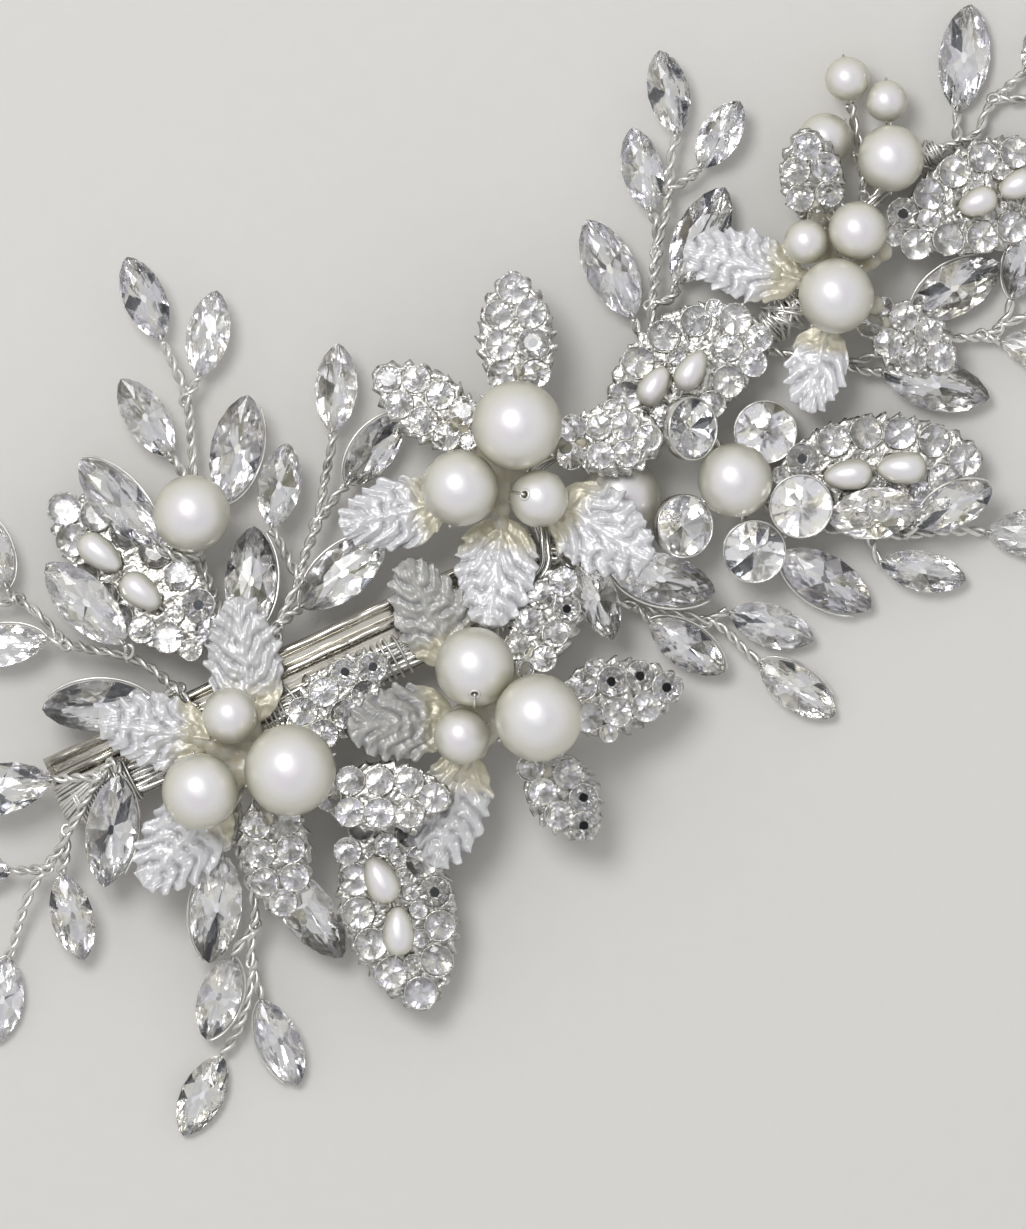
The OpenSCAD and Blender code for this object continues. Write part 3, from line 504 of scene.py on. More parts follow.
@dataclass
class Shape:
    """Points and faces gathered in millimetres before they become one piece.

    Attributes:
        finishes: the finishes that faces name by number.
        points: runs of points.
        faces: faces by the numbers of their points.
        finish_of: number of each face's finish.
        smooth: whether each face is shaded smooth.
        tint: tint of each face.
        relief: relief of each point, from the deepest groove to the crest.
        share: share of the way along the piece at each point.
        count: how many points there are.
    """

    finishes: Sequence[Finish]
    points: list[Points] = field(default_factory=list)
    faces: list[Face] = field(default_factory=list)
    finish_of: list[int] = field(default_factory=list)
    smooth: list[bool] = field(default_factory=list)
    tint: list[float] = field(default_factory=list)
    relief: list[Points] = field(default_factory=list)
    share: list[Points] = field(default_factory=list)
    count: int = 0

    def add(self, points: Points, faces: Sequence[Face], finish: int | Sequence[int] = 0,
            smooth: bool = True, tint: float | Sequence[float] = 0.5, relief: float | Points = 1.0,
            share: float | Points = 1.0) -> None:
        """Adds a run of points with the faces between them.

        Args:
            points: rows of x, y, z.
            faces: faces that count from the first of these points.
            finish: number of the finish, or one for each face.
            smooth: whether the faces are shaded smooth.
            tint: one number, or one for each face.
            relief: height of each point above the deepest groove, from 0 to 1.
            share: share of the way along the piece, for each point.
        """
        self.points.append(np.asarray(points, float))
        self.faces += [tuple(self.count + i for i in face) for face in faces]
        self.finish_of += np.broadcast_to(finish, len(faces)).tolist()
        self.smooth += [smooth] * len(faces)
        self.tint += np.broadcast_to(tint, len(faces)).tolist()
        self.relief.append(np.broadcast_to(relief, len(points)).astype(float))
        self.share.append(np.broadcast_to(share, len(points)).astype(float))
        self.count += len(points)

    def piece(self, name: str, slot: str, nodes: Sequence[str]) -> bpy.types.Object:
        """Makes the piece, rides it on the clip and lets it stand for its CAD nodes.

        Args:
            name: name of the piece.
            slot: the record's material slot; not used.
            nodes: CAD nodes that it replaces.

        Returns:
            The piece.
        """
        mesh = bpy.data.meshes.new(name)
        mesh.from_pydata((np.vstack(self.points) * MM).tolist(), [], self.faces)
        for finish in self.finishes:
            mesh.materials.append(finish.material())
        mesh.polygons.foreach_set("material_index", self.finish_of)
        mesh.polygons.foreach_set("use_smooth", self.smooth)
        mesh.attributes.new("tint", "FLOAT", "FACE").data.foreach_set("value", self.tint)
        for key, values in (("relief", self.relief), ("share", self.share)):
            mesh.attributes.new(key, "FLOAT", "POINT").data.foreach_set("value", np.concatenate(values))
        mesh.update()
        made = put(name, mesh)
        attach(made, "root")
        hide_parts(*nodes)
        LOG.info("%s: %d faces for %s", name, len(self.faces), ", ".join(nodes))
        return made


@dataclass(frozen=True, eq=False)
class Solid:
    """One loose solid of a CAD node, with a frame of its own.

    Attributes:
        points: its corner points in mm.
        centre: middle of its extents along its own axes.
        axes: rows are its longest way, its width and its thinnest way, which faces up.
        low: lowest coordinates in its own frame.
        high: highest coordinates in its own frame.
    """

    points: Points
    centre: Points
    axes: Points
    low: Points
    high: Points

    @classmethod
    def of(cls, points: Points, lead: Points | None = None) -> "Solid":
        """Works out the frame of a set of points.

        Args:
            points: corner points in mm.
            lead: a direction that the longest axis should follow, if any.

        Returns:
            The solid.
        """
        middle = points.mean(0)
        _, ways = np.linalg.eigh(np.cov((points - middle).T))
        x, z = ways[:, 2], ways[:, 0]
        z = z if z[2] >= 0 else -z
        if lead is not None:
            x = x if x @ lead >= 0 else -x
        axes = np.array([x, np.cross(z, x), z])
        local = (points - middle) @ axes.T
        mid = (local.min(0) + local.max(0)) / 2
        return cls(points, middle + mid @ axes, axes, local.min(0) - mid, local.max(0) - mid)

    def end(self, side: int) -> Points:
        """Middle of the solid's far end (1) or near end (-1) along its longest axis."""
        return self.centre + side * self.high[0] * self.axes[0]

    def place(self, local: Points) -> Points:
        """Turns points of the solid's own frame into the part's frame."""
        return self.centre + np.asarray(local) @ self.axes

    def local(self, points: Points) -> Points:
        """Turns points of the part's frame into the solid's own frame."""
        return (np.asarray(points) - self.centre) @ self.axes.T


def solids_of(node: str) -> list[Solid]:
    """Splits a CAD node into its loose solids.

    Args:
        node: name of the node.

    Returns:
        The solids, in the order of their places.
    """
    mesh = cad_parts[node].data
    flat = np.empty(len(mesh.vertices) * 3, np.float32)
    mesh.vertices.foreach_get("co", flat)
    places = flat.reshape(-1, 3).astype(float) / MM
    corners, index = np.unique(np.round(places, 3), axis=0, return_inverse=True)
    index = index.ravel()
    parent = list(range(len(corners)))

    def root(i: int) -> int:
        """Finds the first corner of a group.

        Args:
            i: any corner of the group.

        Returns:
            The first corner.
        """
        while parent[i] != i:
            parent[i] = parent[parent[i]]
            i = parent[i]
        return i

    for face in mesh.polygons:
        first, *others = [root(index[v]) for v in face.vertices]
        for other in others:
            parent[root(other)] = root(first)
    groups: dict[int, list[int]] = {}
    for i in range(len(corners)):
        groups.setdefault(root(i), []).append(i)
    found = [Solid.of(corners[g]) for g in groups.values()]
    return sorted(found, key=lambda s: tuple(np.round(s.centre, 1)))


def smooth_path(points: Sequence[Sequence[float]]) -> Points:
    """Runs a smooth curve through points.

    Args:
        points: places that the curve passes.

    Returns:
        Points along the curve.
    """
    p = np.asarray(points, float)
    p = np.vstack([2 * p[0] - p[1], p, 2 * p[-1] - p[-2]])
    runs = []
    for a, b, c, d in zip(p, p[1:], p[2:], p[3:]):
        count = max(2, round(float(np.linalg.norm(c - b)) / WIRE_STEP))
        t = np.linspace(0, 1, count, endpoint=False)[:, None]
        runs.append(0.5 * (2 * b + (c - a) * t + (2 * a - 5 * b + 4 * c - d) * t ** 2
                           + (3 * b - a - 3 * c + d) * t ** 3))
    return np.vstack([*runs, p[-2:-1]])


def path_frames(path: Points) -> tuple[Points, Points]:
    """Two directions square to a path that turn as little as they can along it.

    Args:
        path: points along the path.

    Returns:
        The first and the second direction at each point.
    """
    ahead = unit(np.gradient(path, axis=0))
    side = np.cross(ahead[0], UP)
    if np.linalg.norm(side) < 0.05:
        side = np.array([1.0, 0.0, 0.0])
    sides = []
    for d in ahead:
        side = unit(side - (side @ d) * d)
        sides.append(side)
    first = np.array(sides)
    return first, np.cross(ahead, first)


def distances(path: Points) -> Points:
    """Distance along a path at each of its points."""
    return np.concatenate([[0.0], np.cumsum(np.linalg.norm(np.diff(path, axis=0), axis=1))])


def along_path(path: Points, at: float | Points) -> Points:
    """Place, or places, at distances along a path."""
    ahead = distances(path)
    return np.stack([np.interp(at, ahead, path[:, k]) for k in range(3)], axis=-1)


def bowed(value: float | Points, power: float) -> float | Points:
    """Raises a signed value to a power and keeps its sign."""
    return np.sign(value) * np.abs(value) ** power


def round_steps(count: int, turn: float = 0.0) -> Points:
    """Even angles round a circle, shifted by a share of a step."""
    return 2 * math.pi * (np.arange(count) + turn) / count


def ring_faces(rings: int, sides: int) -> list[Face]:
    """Faces of a closed body whose rings of points are joined in turn.

    Args:
        rings: how many rings.
        sides: points in a ring.

    Returns:
        The faces, with those that close the first and the last ring.
    """
    faces: list[Face] = [
        (i * sides + k, i * sides + (k + 1) % sides, (i + 1) * sides + (k + 1) % sides, (i + 1) * sides + k)
        for i in range(rings - 1) for k in range(sides)]
    return [*faces, tuple(range(sides - 1, -1, -1)), tuple(range((rings - 1) * sides, rings * sides))]


def add_tube(shape: Shape, path: Points, radius: float | Points, sides: int = 6, finish: int = 0) -> None:
    """Adds a round wire along a path.

    Args:
        shape: where it goes.
        path: points along its middle.
        radius: one radius, or one for each point.
        sides: sides of the wire.
        finish: number of its finish.
    """
    first, second = path_frames(path)
    angles = round_steps(sides)
    wide = np.broadcast_to(radius, len(path))[:, None, None]
    rings = path[:, None] + wide * (np.cos(angles)[None, :, None] * first[:, None]
                                    + np.sin(angles)[None, :, None] * second[:, None])
    shape.add(rings.reshape(-1, 3), ring_faces(len(path), sides), finish)


def add_coil(shape: Shape, path: Points, offsets: Callable[[Points], Offsets], wire_r: float) -> None:
    """Adds a wire that winds round a path.

    Args:
        shape: where it goes.
        path: points along the middle of the coil.
        offsets: gives the wire's offsets from the distances along the path.
        wire_r: radius of the wire.
    """
    first, second = path_frames(path)
    a, b = offsets(distances(path))
    add_tube(shape, path + a[:, None] * first + b[:, None] * second, wire_r)


def add_lathe(shape: Shape, solid_axes: Points, centre: Points, outline: Sequence[Pair],
              sides: int, finish: int = 0, smooth: bool = True) -> None:
    """Turns a closed outline round an axis.

    Args:
        shape: where it goes.
        solid_axes: rows of the frame, the last of which is the axis.
        centre: place that the outline is measured from.
        outline: radius and height of each corner, going round the section.
        sides: steps round the axis.
        finish: number of its finish.
        smooth: whether it is shaded smooth.
    """
    angles = round_steps(sides)
    points = np.array([[r * math.cos(a), r * math.sin(a), z] for a in angles for r, z in outline])
    n = len(outline)
    faces = [(i * n + k, ((i + 1) % sides) * n + k, ((i + 1) % sides) * n + (k + 1) % n, i * n + (k + 1) % n)
             for i in range(sides) for k in range(n)]
    shape.add(centre + points @ solid_axes, faces, finish, smooth)


def add_ball(shape: Shape, centre: Points, radius: float, finish: int = 0, rows: int = 5,
             sides: int = 8) -> None:
    """Adds a small bead of metal or glue.

    Args:
        shape: where it goes.
        centre: its middle.
        radius: its radius.
        finish: number of its finish.
        rows: rings from pole to pole.
        sides: points in a ring.
    """
    turns = np.linspace(0.12, math.pi - 0.12, rows)
    points = np.array([[math.sin(t) * math.cos(a), math.sin(t) * math.sin(a), -math.cos(t)]
                       for t in turns for a in round_steps(sides)])
    shape.add(centre + radius * points, ring_faces(rows, sides), finish)


def add_sheet(shape: Shape, top: Points, bottom: Points, relief: Points, share: Points,
              finish: int = 0, tint: float = 0.5) -> None:
    """Adds a closed sheet between two grids of points.

    Args:
        shape: where it goes.
        top: upper grid, rows by columns by x, y, z.
        bottom: lower grid of the same size.
        relief: relief of each upper point.
        share: share along the sheet of each upper point.
        finish: number of its finish.
        tint: tint of all its faces.
    """
    rows, cols = top.shape[:2]
    under = rows * cols

    def at(i: int, j: int) -> int:
        """Number of a grid point."""
        return i * cols + j

    faces: list[Face] = []
    for i in range(rows - 1):
        for j in range(cols - 1):
            quad = (at(i, j), at(i + 1, j), at(i + 1, j + 1), at(i, j + 1))
            faces.append(quad)
            faces.append(tuple(under + k for k in reversed(quad)))
    border = [*(at(0, j) for j in range(cols)), *(at(i, cols - 1) for i in range(1, rows)),
              *(at(rows - 1, j) for j in range(cols - 2, -1, -1)),
              *(at(i, 0) for i in range(rows - 2, 0, -1))]
    faces += [(a, b, under + b, under + a) for a, b in zip(border, border[1:] + border[:1])]
    shape.add(np.vstack([top.reshape(-1, 3), bottom.reshape(-1, 3)]), faces, finish, tint=tint,
              relief=np.concatenate([relief.ravel(), np.zeros(under)]),
              share=np.concatenate([share.ravel(), share.ravel()]))


@dataclass(frozen=True)
class Cut:
    """A brilliant cut, drawn round or stretched to a pointed oval.

    Attributes:
        half_long: half the length of the girdle.
        half_wide: half its width.
        crown: height of the table above the girdle.
        depth: depth of the culet below it.
        point: how pointed the ends are; 1 is round.
        table: size of the table as a share of the girdle.
        culet: size of the flat culet as a share of the girdle.
        mains: main facets round the stone.
        band: height of the girdle's polished band.
        dome: rise of a table that is itself cut into low facets; 0 leaves it flat.
        star: size of the ring where the crown's facets meet, as a share of the girdle.
        star_up: height of that ring as a share of the crown, and of the back's ring as one of the depth.
        back_break: size of the ring where the back's facets meet, as a share of the girdle.
        heart_culet: size of the culet of a stone with a heart.
        wobble: how far the corners stray from a perfect cut, as a share of the half width.
    """

    half_long: float
    half_wide: float
    crown: float
    depth: float
    point: float = 1.0
    table: float = 0.56
    culet: float = 0.05
    mains: int = 8
    band: float = 0.06
    dome: float = 0.0
    star: float = 0.8
    star_up: float = 0.56
    back_break: float = 0.52
    heart_culet: float = 0.34
    wobble: float = 0.012

    def ring(self, size: float, z: float, count: int, turn: float = 0.0) -> Points:
        """A ring of the stone's outline.

        Args:
            size: share of the girdle's size.
            z: height of the ring.
            count: points in the ring.
            turn: shift of the first point, in steps.

        Returns:
            The ring's points.
        """
        angles = round_steps(count, turn)
        c, s = np.cos(angles), np.sin(angles)
        # The pointed ends come from narrowing the sides, less so near the table, as a cutter does
        point = 1 + (self.point - 1) * size
        return np.stack([self.half_long * size * c, self.half_wide * size * bowed(s, point),
                         np.full(count, z)], axis=1)

    def add_to(self, shape: Shape, centre: Points, axes: Points, rng: Random,
               heart: bool = False, least: float = 0.0) -> None:
        """Adds the cut stone: clear facets above the girdle and foiled ones below.

        Args:
            shape: where it goes; its finishes are crystal and then foil.
            centre: middle of the girdle.
            axes: frame of the stone, whose third row faces up.
            rng: source of the facets' tints.
            heart: whether the culet is wide and has no foil, which shows as a dark round heart.
            least: lowest tint of a facet; the foil's painted dark reflection covers those below 0.07.
        """
        m = self.mains
        culet = self.heart_culet if heart else self.culet
        rings = [self.ring(self.table, self.crown, m),
                 self.ring(self.star, self.crown * self.star_up, m, 0.5),
                 self.ring(1.0, self.band, 2 * m), self.ring(1.0, -self.band, 2 * m),
                 self.ring(self.back_break, -self.depth * self.star_up, m, 0.5),
                 self.ring(culet, -self.depth, m)]
        starts = np.concatenate([[0], np.cumsum([len(r) for r in rings])])
        top = int(starts[-1])
        rings.append(np.array([[0.1 * self.half_long, 0.0, self.crown + self.dome]]))
        t, k, g, b, p, c = [int(v) for v in starts[:6]]
        upper: list[Face] = [tuple(range(t, t + m))] if self.dome == 0 else [
            (t + i, t + (i + 1) % m, top) for i in range(m)]
        lower: list[Face] = []
        twin = 2 * m
        for i in range(m):
            j, before = (i + 1) % m, (i - 1) % m
            upper.append((t + i, k + i, t + j))
            upper.append((t + i, k + before, g + 2 * i, k + i))
            upper.append((k + i, g + 2 * i, g + 2 * i + 1))
            upper.append((k + i, g + 2 * i + 1, g + (2 * i + 2) % twin))
            for step in (2 * i, 2 * i + 1):
                after = (step + 1) % twin
                upper.append((g + step, b + step, b + after, g + after))
            lower.append((b + 2 * i, p + i, b + 2 * i + 1))
            lower.append((b + 2 * i + 1, p + i, b + (2 * i + 2) % twin))
            lower.append((b + 2 * i, p + before, c + i, p + i))
            lower.append((p + i, c + i, c + j))
        lower.append(tuple(range(c + m - 1, c - 1, -1)))
        points = np.vstack(rings)
        stray = rng.normal(0, self.wobble * self.half_wide, points.shape)
        # The girdle stays true, and the table and the culet stay level
        stray[g:p] = 0
        stray[t:t + m, 2] = 0
        stray[c:, 2] = 0
        stray[top] = 0
        tints = least + (1 - least) * rng.random(len(lower))
        if heart:
            tints[-1] = -1.0
        shape.add(centre + (points + stray) @ axes, [*upper, *lower], [0] * len(upper) + [1] * len(lower),
                  False, [0.5] * len(upper) + list(tints))


@dataclass(frozen=True)
class Route:
    """A wire's way from the clip outwards.

    Attributes:
        points: places in mm from the spray's own zero.
        to_stone: whether it ends at a stone.
    """

    points: Sequence[Triple]
    to_stone: bool = True

    def path(self, end: Points | None = None) -> Points:
        """The smooth path, taken on to an end point if one is given."""
        placed = [np.array(p) + SPRAY_AT for p in self.points]
        return smooth_path(placed if end is None else [*placed, end])


def nearest_hub(place: Points) -> float:
    """Distance in mm from a place to the nearest cluster's pad."""
    middles = [sum(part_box(f"hub_{name}"), start=Vector((0, 0, 0))) / 2 / MM for name in "abce"]
    return min(float(np.linalg.norm(np.array(m) - place)) for m in middles)


def near_any(place: Points, spots: Sequence[Pair], reach: float) -> bool:
    """Whether a place lies, seen from above, near one of the spots on the spray."""
    return any(np.hypot(*((place - SPRAY_AT)[:2] - np.array(spot))) < reach for spot in spots)


def base_first(solid: Solid) -> Solid:
    """Turns a leaf's frame so that it runs outwards.

    Args:
        solid: the leaf.

    Returns:
        The leaf, whose frame runs from the end nearer to a cluster to the far end.
    """
    if nearest_hub(solid.end(-1)) <= nearest_hub(solid.end(1)):
        return solid
    return Solid.of(solid.points, -solid.axes[0])


@dataclass
class BarretteClip:
    """The clip itself: an arched bar pressed with two ridges, and the plain closing arm.

    Attributes:
        length: length of the bar.
        width: its width.
        top: height of its top in the middle.
        thick: thickness of its strip.
        rise: how far its ends drop below its middle.
        turn_deg: its turn against the spray.
        ridges: place across the bar and radius of each pressed ridge.
        ridge_h: greatest height of a ridge.
        wave_h: height of the slow wave that hand pressing leaves along a ridge.
        edge_w: width of the rolled edge.
        edge_drop: how far the rolled edge dips.
        tab: length, width and height of the foot of the tab at each end.
        rows: steps along the bar.
        cols: steps across it.
    """

    length: float = 60.0
    width: float = 8.0
    top: float = 7.2
    thick: float = 0.8
    rise: float = 3.0
    turn_deg: float = 25.0
    ridges: Sequence[Pair] = ((3.45, 0.5), (1.5, 0.6))
    ridge_h: float = 0.6
    wave_h: float = 0.05
    edge_w: float = 0.2
    edge_drop: float = 0.12
    tab: Triple = (1.0, 5.0, 0.3)
    rows: int = 90
    cols: int = 73

    def bar_top(self, s: Points) -> Points:
        """Height of the bar's top at distances along it."""
        r = ((self.length / 2) ** 2 + self.rise ** 2) / (2 * self.rise)
        return self.top - r + np.sqrt(r ** 2 - np.asarray(s, float) ** 2)

    def on_clip(self, s: float, t: float, z: float) -> Points:
        """Point at s along the clip and t across it, in the part's frame."""
        c, d = math.cos(math.radians(self.turn_deg)), math.sin(math.radians(self.turn_deg))
        return np.array([s * c - t * d, s * d + t * c, z])

    def build(self) -> None:
        """Builds the bar over its CAD node and dresses the arm."""
        shape = Shape([NICKEL])
        along = np.linspace(-self.length / 2, self.length / 2, self.rows)
        across = np.linspace(-self.width / 2, self.width / 2, self.cols)
        top, under = np.zeros((2, self.rows, self.cols, 3))
        for i, s in enumerate(along):
            z = float(self.bar_top(s))
            for j, t in enumerate(across):
                ridge = sum(math.sqrt(max(0.0, 1 - ((t - at) / r) ** 2)) * min(r, self.ridge_h)
                            for at, r in self.ridges)
                wave = self.wave_h * math.sin(1.3 * s + 2.0 * t) * (ridge > 0)
                drop = self.edge_drop * (abs(t) > self.width / 2 - self.edge_w)
                top[i, j] = self.on_clip(s, t, z + ridge + wave - drop)
                under[i, j] = self.on_clip(s, t, z - self.thick)
        flat = np.ones((self.rows, self.cols))
        add_sheet(shape, top, under, flat, flat)
        long, wide, foot = self.tab
        head = float(self.bar_top(self.length / 2)) - self.thick + 0.2
        for side in (-1, 1):
            mid = side * (self.length - long) / 2
            corners = [self.on_clip(mid + a * long / 2, b * wide / 2, z)
                       for z in (foot, head) for a, b in ((-1, -1), (1, -1), (1, 1), (-1, 1))]
            shape.add(np.array(corners), ring_faces(2, 4), 0, False)
        shape.piece("pressed_bar", "clip_nickel", ["clip_bar"])
        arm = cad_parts["clip_arm"]
        arm.data.materials.clear()
        arm.data.materials.append(STEEL.material())


@dataclass
class WireStem:
    """The bundle of stems along the bar, the main stem past it, and the wire that binds them.

    Attributes:
        clip: the clip that it runs along.
        strand_r: radius of one drawn wire.
        half_w: half width of the bundle on the bar.
        half_h: half its height.
        stem_r: radius of the main stem past the bar.
        side: place of the bundle across the bar.
        lift: space between the bar and the bundle.
        bar_end: distance along the stem at which the flat bundle starts to turn into the round stem.
        change: length of that stretch, and of the one where the tip thins.
        tip_at: distance along the stem at which its tip starts to thin.
        tip_thin: share by which the tip is thinner.
        strands: place of each wire across the bundle and up it, as shares of its halves.
        bind_r: radius of the binding wire.
        laces: turns laced round the bar's left end.
        lace_step: distance between two of them across the bar.
        lace_ends: where the turns lie along the bar, at its left end and past it.
        lace_up: height of the turns' middle above the bar.
        lace_half_h: half their height.
        bar_stops: places along the bar that the stem passes.
        route: places that it passes after the bar, from the spray's own zero.
        tangles: loose turns: distance along the stem, how many, and their radius.
        binding: stretches of binding: first and last millimetre along the stem, and pitch of the turns.
    """

    clip: BarretteClip
    strand_r: float = 0.33
    half_w: float = 1.9
    half_h: float = 0.7
    stem_r: float = 1.05
    side: float = -2.05
    lift: float = 0.45
    bar_end: float = 51.0
    change: float = 4.0
    tip_at: float = 119.0
    tip_thin: float = 0.2
    strands: Sequence[Pair] = (
        (-0.82, -0.3), (-0.5, 0.45), (-0.18, -0.4), (0.12, 0.5), (0.45, -0.35), (0.8, 0.3), (-0.85, 0.5),
        (0.5, 0.55), (-0.15, 0.1), (0.85, -0.45))
    bind_r: float = 0.15
    laces: int = 10
    lace_step: float = 0.42
    lace_ends: Pair = (-30.25, -24.2)
    lace_up: float = 0.55
    lace_half_h: float = 1.65
    bar_stops: Sequence[float] = (-29, -25.5, -22, -14, -6, -4, 4, 10, 17, 23)
    route: Sequence[Triple] = (
        (24.4, 8.4, 6.3), (24.1, 11.6, 6), (22.8, 15.4, 5.8), (22.9, 19.1, 5.6), (26, 21.1, 4.9),
        (30.3, 21.9, 3.8), (35.7, 24, 2.8), (41.1, 28, 2.5), (46.4, 32.6, 2.5), (50.2, 35.8, 2.6),
        (54.2, 39.6, 2.7), (57, 43.6, 2.7), (59.3, 47.3, 2.6), (62.6, 51.2, 2.5), (64.6, 52.5, 2.35),
        (66.7, 53.5, 2.2))
    tangles: Sequence[tuple[float, int, float]] = (
        (51.5, 5, 2.0), (79.5, 5, 1.7), (98.5, 10, 2.0), (101.5, 10, 2.0), (104.0, 7, 1.6), (121.5, 7, 1.5),
        (124.0, 5, 1.4))
    binding: Sequence[Triple] = (
        (0.3, 7.2, 0.36), (13.0, 24.0, 2.6), (23.0, 25.2, 0.5), (25.4, 33.0, 1.9), (33.2, 39.3, 0.85),
        (39.5, 46.0, 1.3), (46.2, 52.0, 0.75), (79.0, 81.0, 0.5), (97.3, 103.2, 0.42), (123.6, 126.4, 0.36))

    def path(self) -> Points:
        """Finds the middle line of the stem.

        Returns:
            Points from the clip's left end to the spray's right end.
        """
        lift = self.lift + self.half_h
        on_bar = [self.clip.on_clip(s, self.side, float(self.clip.bar_top(s)) + lift)
                  for s in self.bar_stops]
        return smooth_path([*on_bar, *[np.array(p) + SPRAY_AT for p in self.route]])

    def past(self, distance: Points, place: float) -> Points:
        """How far a stretch of change that starts at a place is done, from 0 to 1."""
        return np.clip((distance - place) / self.change, 0, 1)

    def halves(self, distance: Points) -> tuple[Points, Points]:
        """Finds how thick the stem is.

        Args:
            distance: distances along the stem.

        Returns:
            Its half width and its half height there.
        """
        to_stem = self.past(distance, self.bar_end)
        thin = self.past(distance, self.tip_at) * self.tip_thin
        wide = (1 - to_stem) * self.half_w + to_stem * self.stem_r
        high = (1 - to_stem) * self.half_h + to_stem * self.stem_r
        return wide * (1 - thin), high * (1 - thin)

    def build(self) -> None:
        """Builds the strands over the bundle's node and the binding over its sleeves."""
        path = self.path()
        strands = Shape([WIRE])
        for number in range(len(self.strands)):
            add_coil(strands, path, partial(self.strand_at, number), self.strand_r)
        strands.piece("stem_strands", "stem_wire", ["stem_bundle"])
        turns = Shape([SATIN_WIRE])
        for start, end, pitch in self.binding:
            add_coil(turns, along_path(path, np.arange(start, end, pitch / 22)),
                     partial(self.binding_at, start, pitch), self.bind_r)
        rng = np.random.default_rng(8)
        for at, count, radius in self.tangles:
            for _ in range(count):
                self.add_loop(turns, path, at + rng.normal(0, 0.8), radius * rng.uniform(0.75, 1.15), rng)
        self.add_lacing(turns)
        turns.piece("binding_turns", "binding_wire", ["stem_wraps"])

    def strand_at(self, number: int, distance: Points) -> Offsets:
        """Finds where a strand runs in the bundle, with a slow weave of its own.

        Args:
            number: number of the strand.
            distance: distances along the stem.

        Returns:
            The strand's offsets.
        """
        across, up = self.strands[number]
        wide, high = self.halves(distance)
        turn = self.past(distance, self.bar_end) * (distance - self.bar_end) * 0.22
        x = across * (wide - self.strand_r) + 0.1 * np.sin(0.8 * distance + 2.1 * number)
        y = up * (high - self.strand_r * 0.6) + 0.06 * np.sin(1.1 * distance + number)
        return x * np.cos(turn) - y * np.sin(turn), x * np.sin(turn) + y * np.cos(turn)

    def binding_at(self, start: float, pitch: float, distance: Points) -> Offsets:
        """Finds where the binding wire lies round the bundle.

        Args:
            start: where its stretch starts along the stem.
            pitch: length of a turn.
            distance: distances from the start.

        Returns:
            The wire's offsets.
        """
        d = distance
        wide, high = self.halves(d + start)
        # Wound by hand: the turns crowd and part, and some stand off the wire below
        a = 2 * math.pi * d / pitch + 0.9 * np.sin(1.3 * d + start) + 0.5 * np.sin(3.1 * d)
        grow = self.bind_r + 0.12 + 0.16 * np.clip(np.sin(2.2 * d + 2 * start), 0, 1) ** 2
        return bowed(np.cos(a), 0.8) * (wide + grow), bowed(np.sin(a), 0.8) * (high + grow)

    def add_lacing(self, shape: Shape) -> None:
        """Adds the fan of turns laced over the bundle and round the bar's left end.

        Args:
            shape: where they go.
        """
        rng = np.random.default_rng(21)
        knots = []
        for number in range(self.laces):
            first = 0.7 - self.lace_step * number + rng.uniform(-0.08, 0.08)
            bow = rng.uniform(-0.25, 0.25)
            far = self.lace_ends[1] - rng.uniform(0, 1.0)
            near = self.lace_ends[0] - rng.uniform(0, 0.15)
            for a in np.linspace(0, 2 * math.pi, 28, endpoint=False):
                # The turns are flat: most of each runs along the bar, and back under it
                share = 0.5 + 0.5 * bowed(math.cos(a), 0.45)
                s = near + share * (far - near)
                across = first - self.lace_step * a / (2 * math.pi)
                across = across + 0.75 * share * (0.5 - across) + bow * math.sin(math.pi * share)
                bar = float(self.clip.bar_top(max(s, -self.clip.length / 2)))
                z = bar + self.lace_up + self.lace_half_h * math.sin(a)
                knots.append(self.clip.on_clip(s, across, z))
        add_tube(shape, smooth_path(knots), self.bind_r * 1.3)

    def add_loop(self, shape: Shape, path: Points, at: float, radius: float, rng: Random) -> None:
        """Adds a loose turn of wire thrown round the stem on the slant.

        Args:
            shape: where it goes.
            path: middle line of the stem.
            at: distance along the stem.
            radius: radius of the turn.
            rng: source of its slant.
        """
        place = along_path(path, at)
        along = unit(along_path(path, at + 0.5) - place)
        side = unit(np.cross(along, UP))
        up = np.cross(side, along)
        slant = rng.uniform(-1.3, 1.3)
        start = rng.uniform(0, 2 * math.pi)
        # Between two thirds of a turn and nearly a whole one
        a = start + np.linspace(0, rng.uniform(1.3, 1.9) * math.pi, 30)
        wobble = 1 + 0.12 * np.sin(2 * a + 3 * start)
        # Flatter below than above, so that the turn clears what lies under the stem
        loop = (place + radius * wobble[:, None] * (np.cos(a)[:, None] * (side + slant * along)
                                                    + 0.7 * np.sin(a)[:, None] * up))
        add_tube(shape, loop, self.bind_r * 1.35)


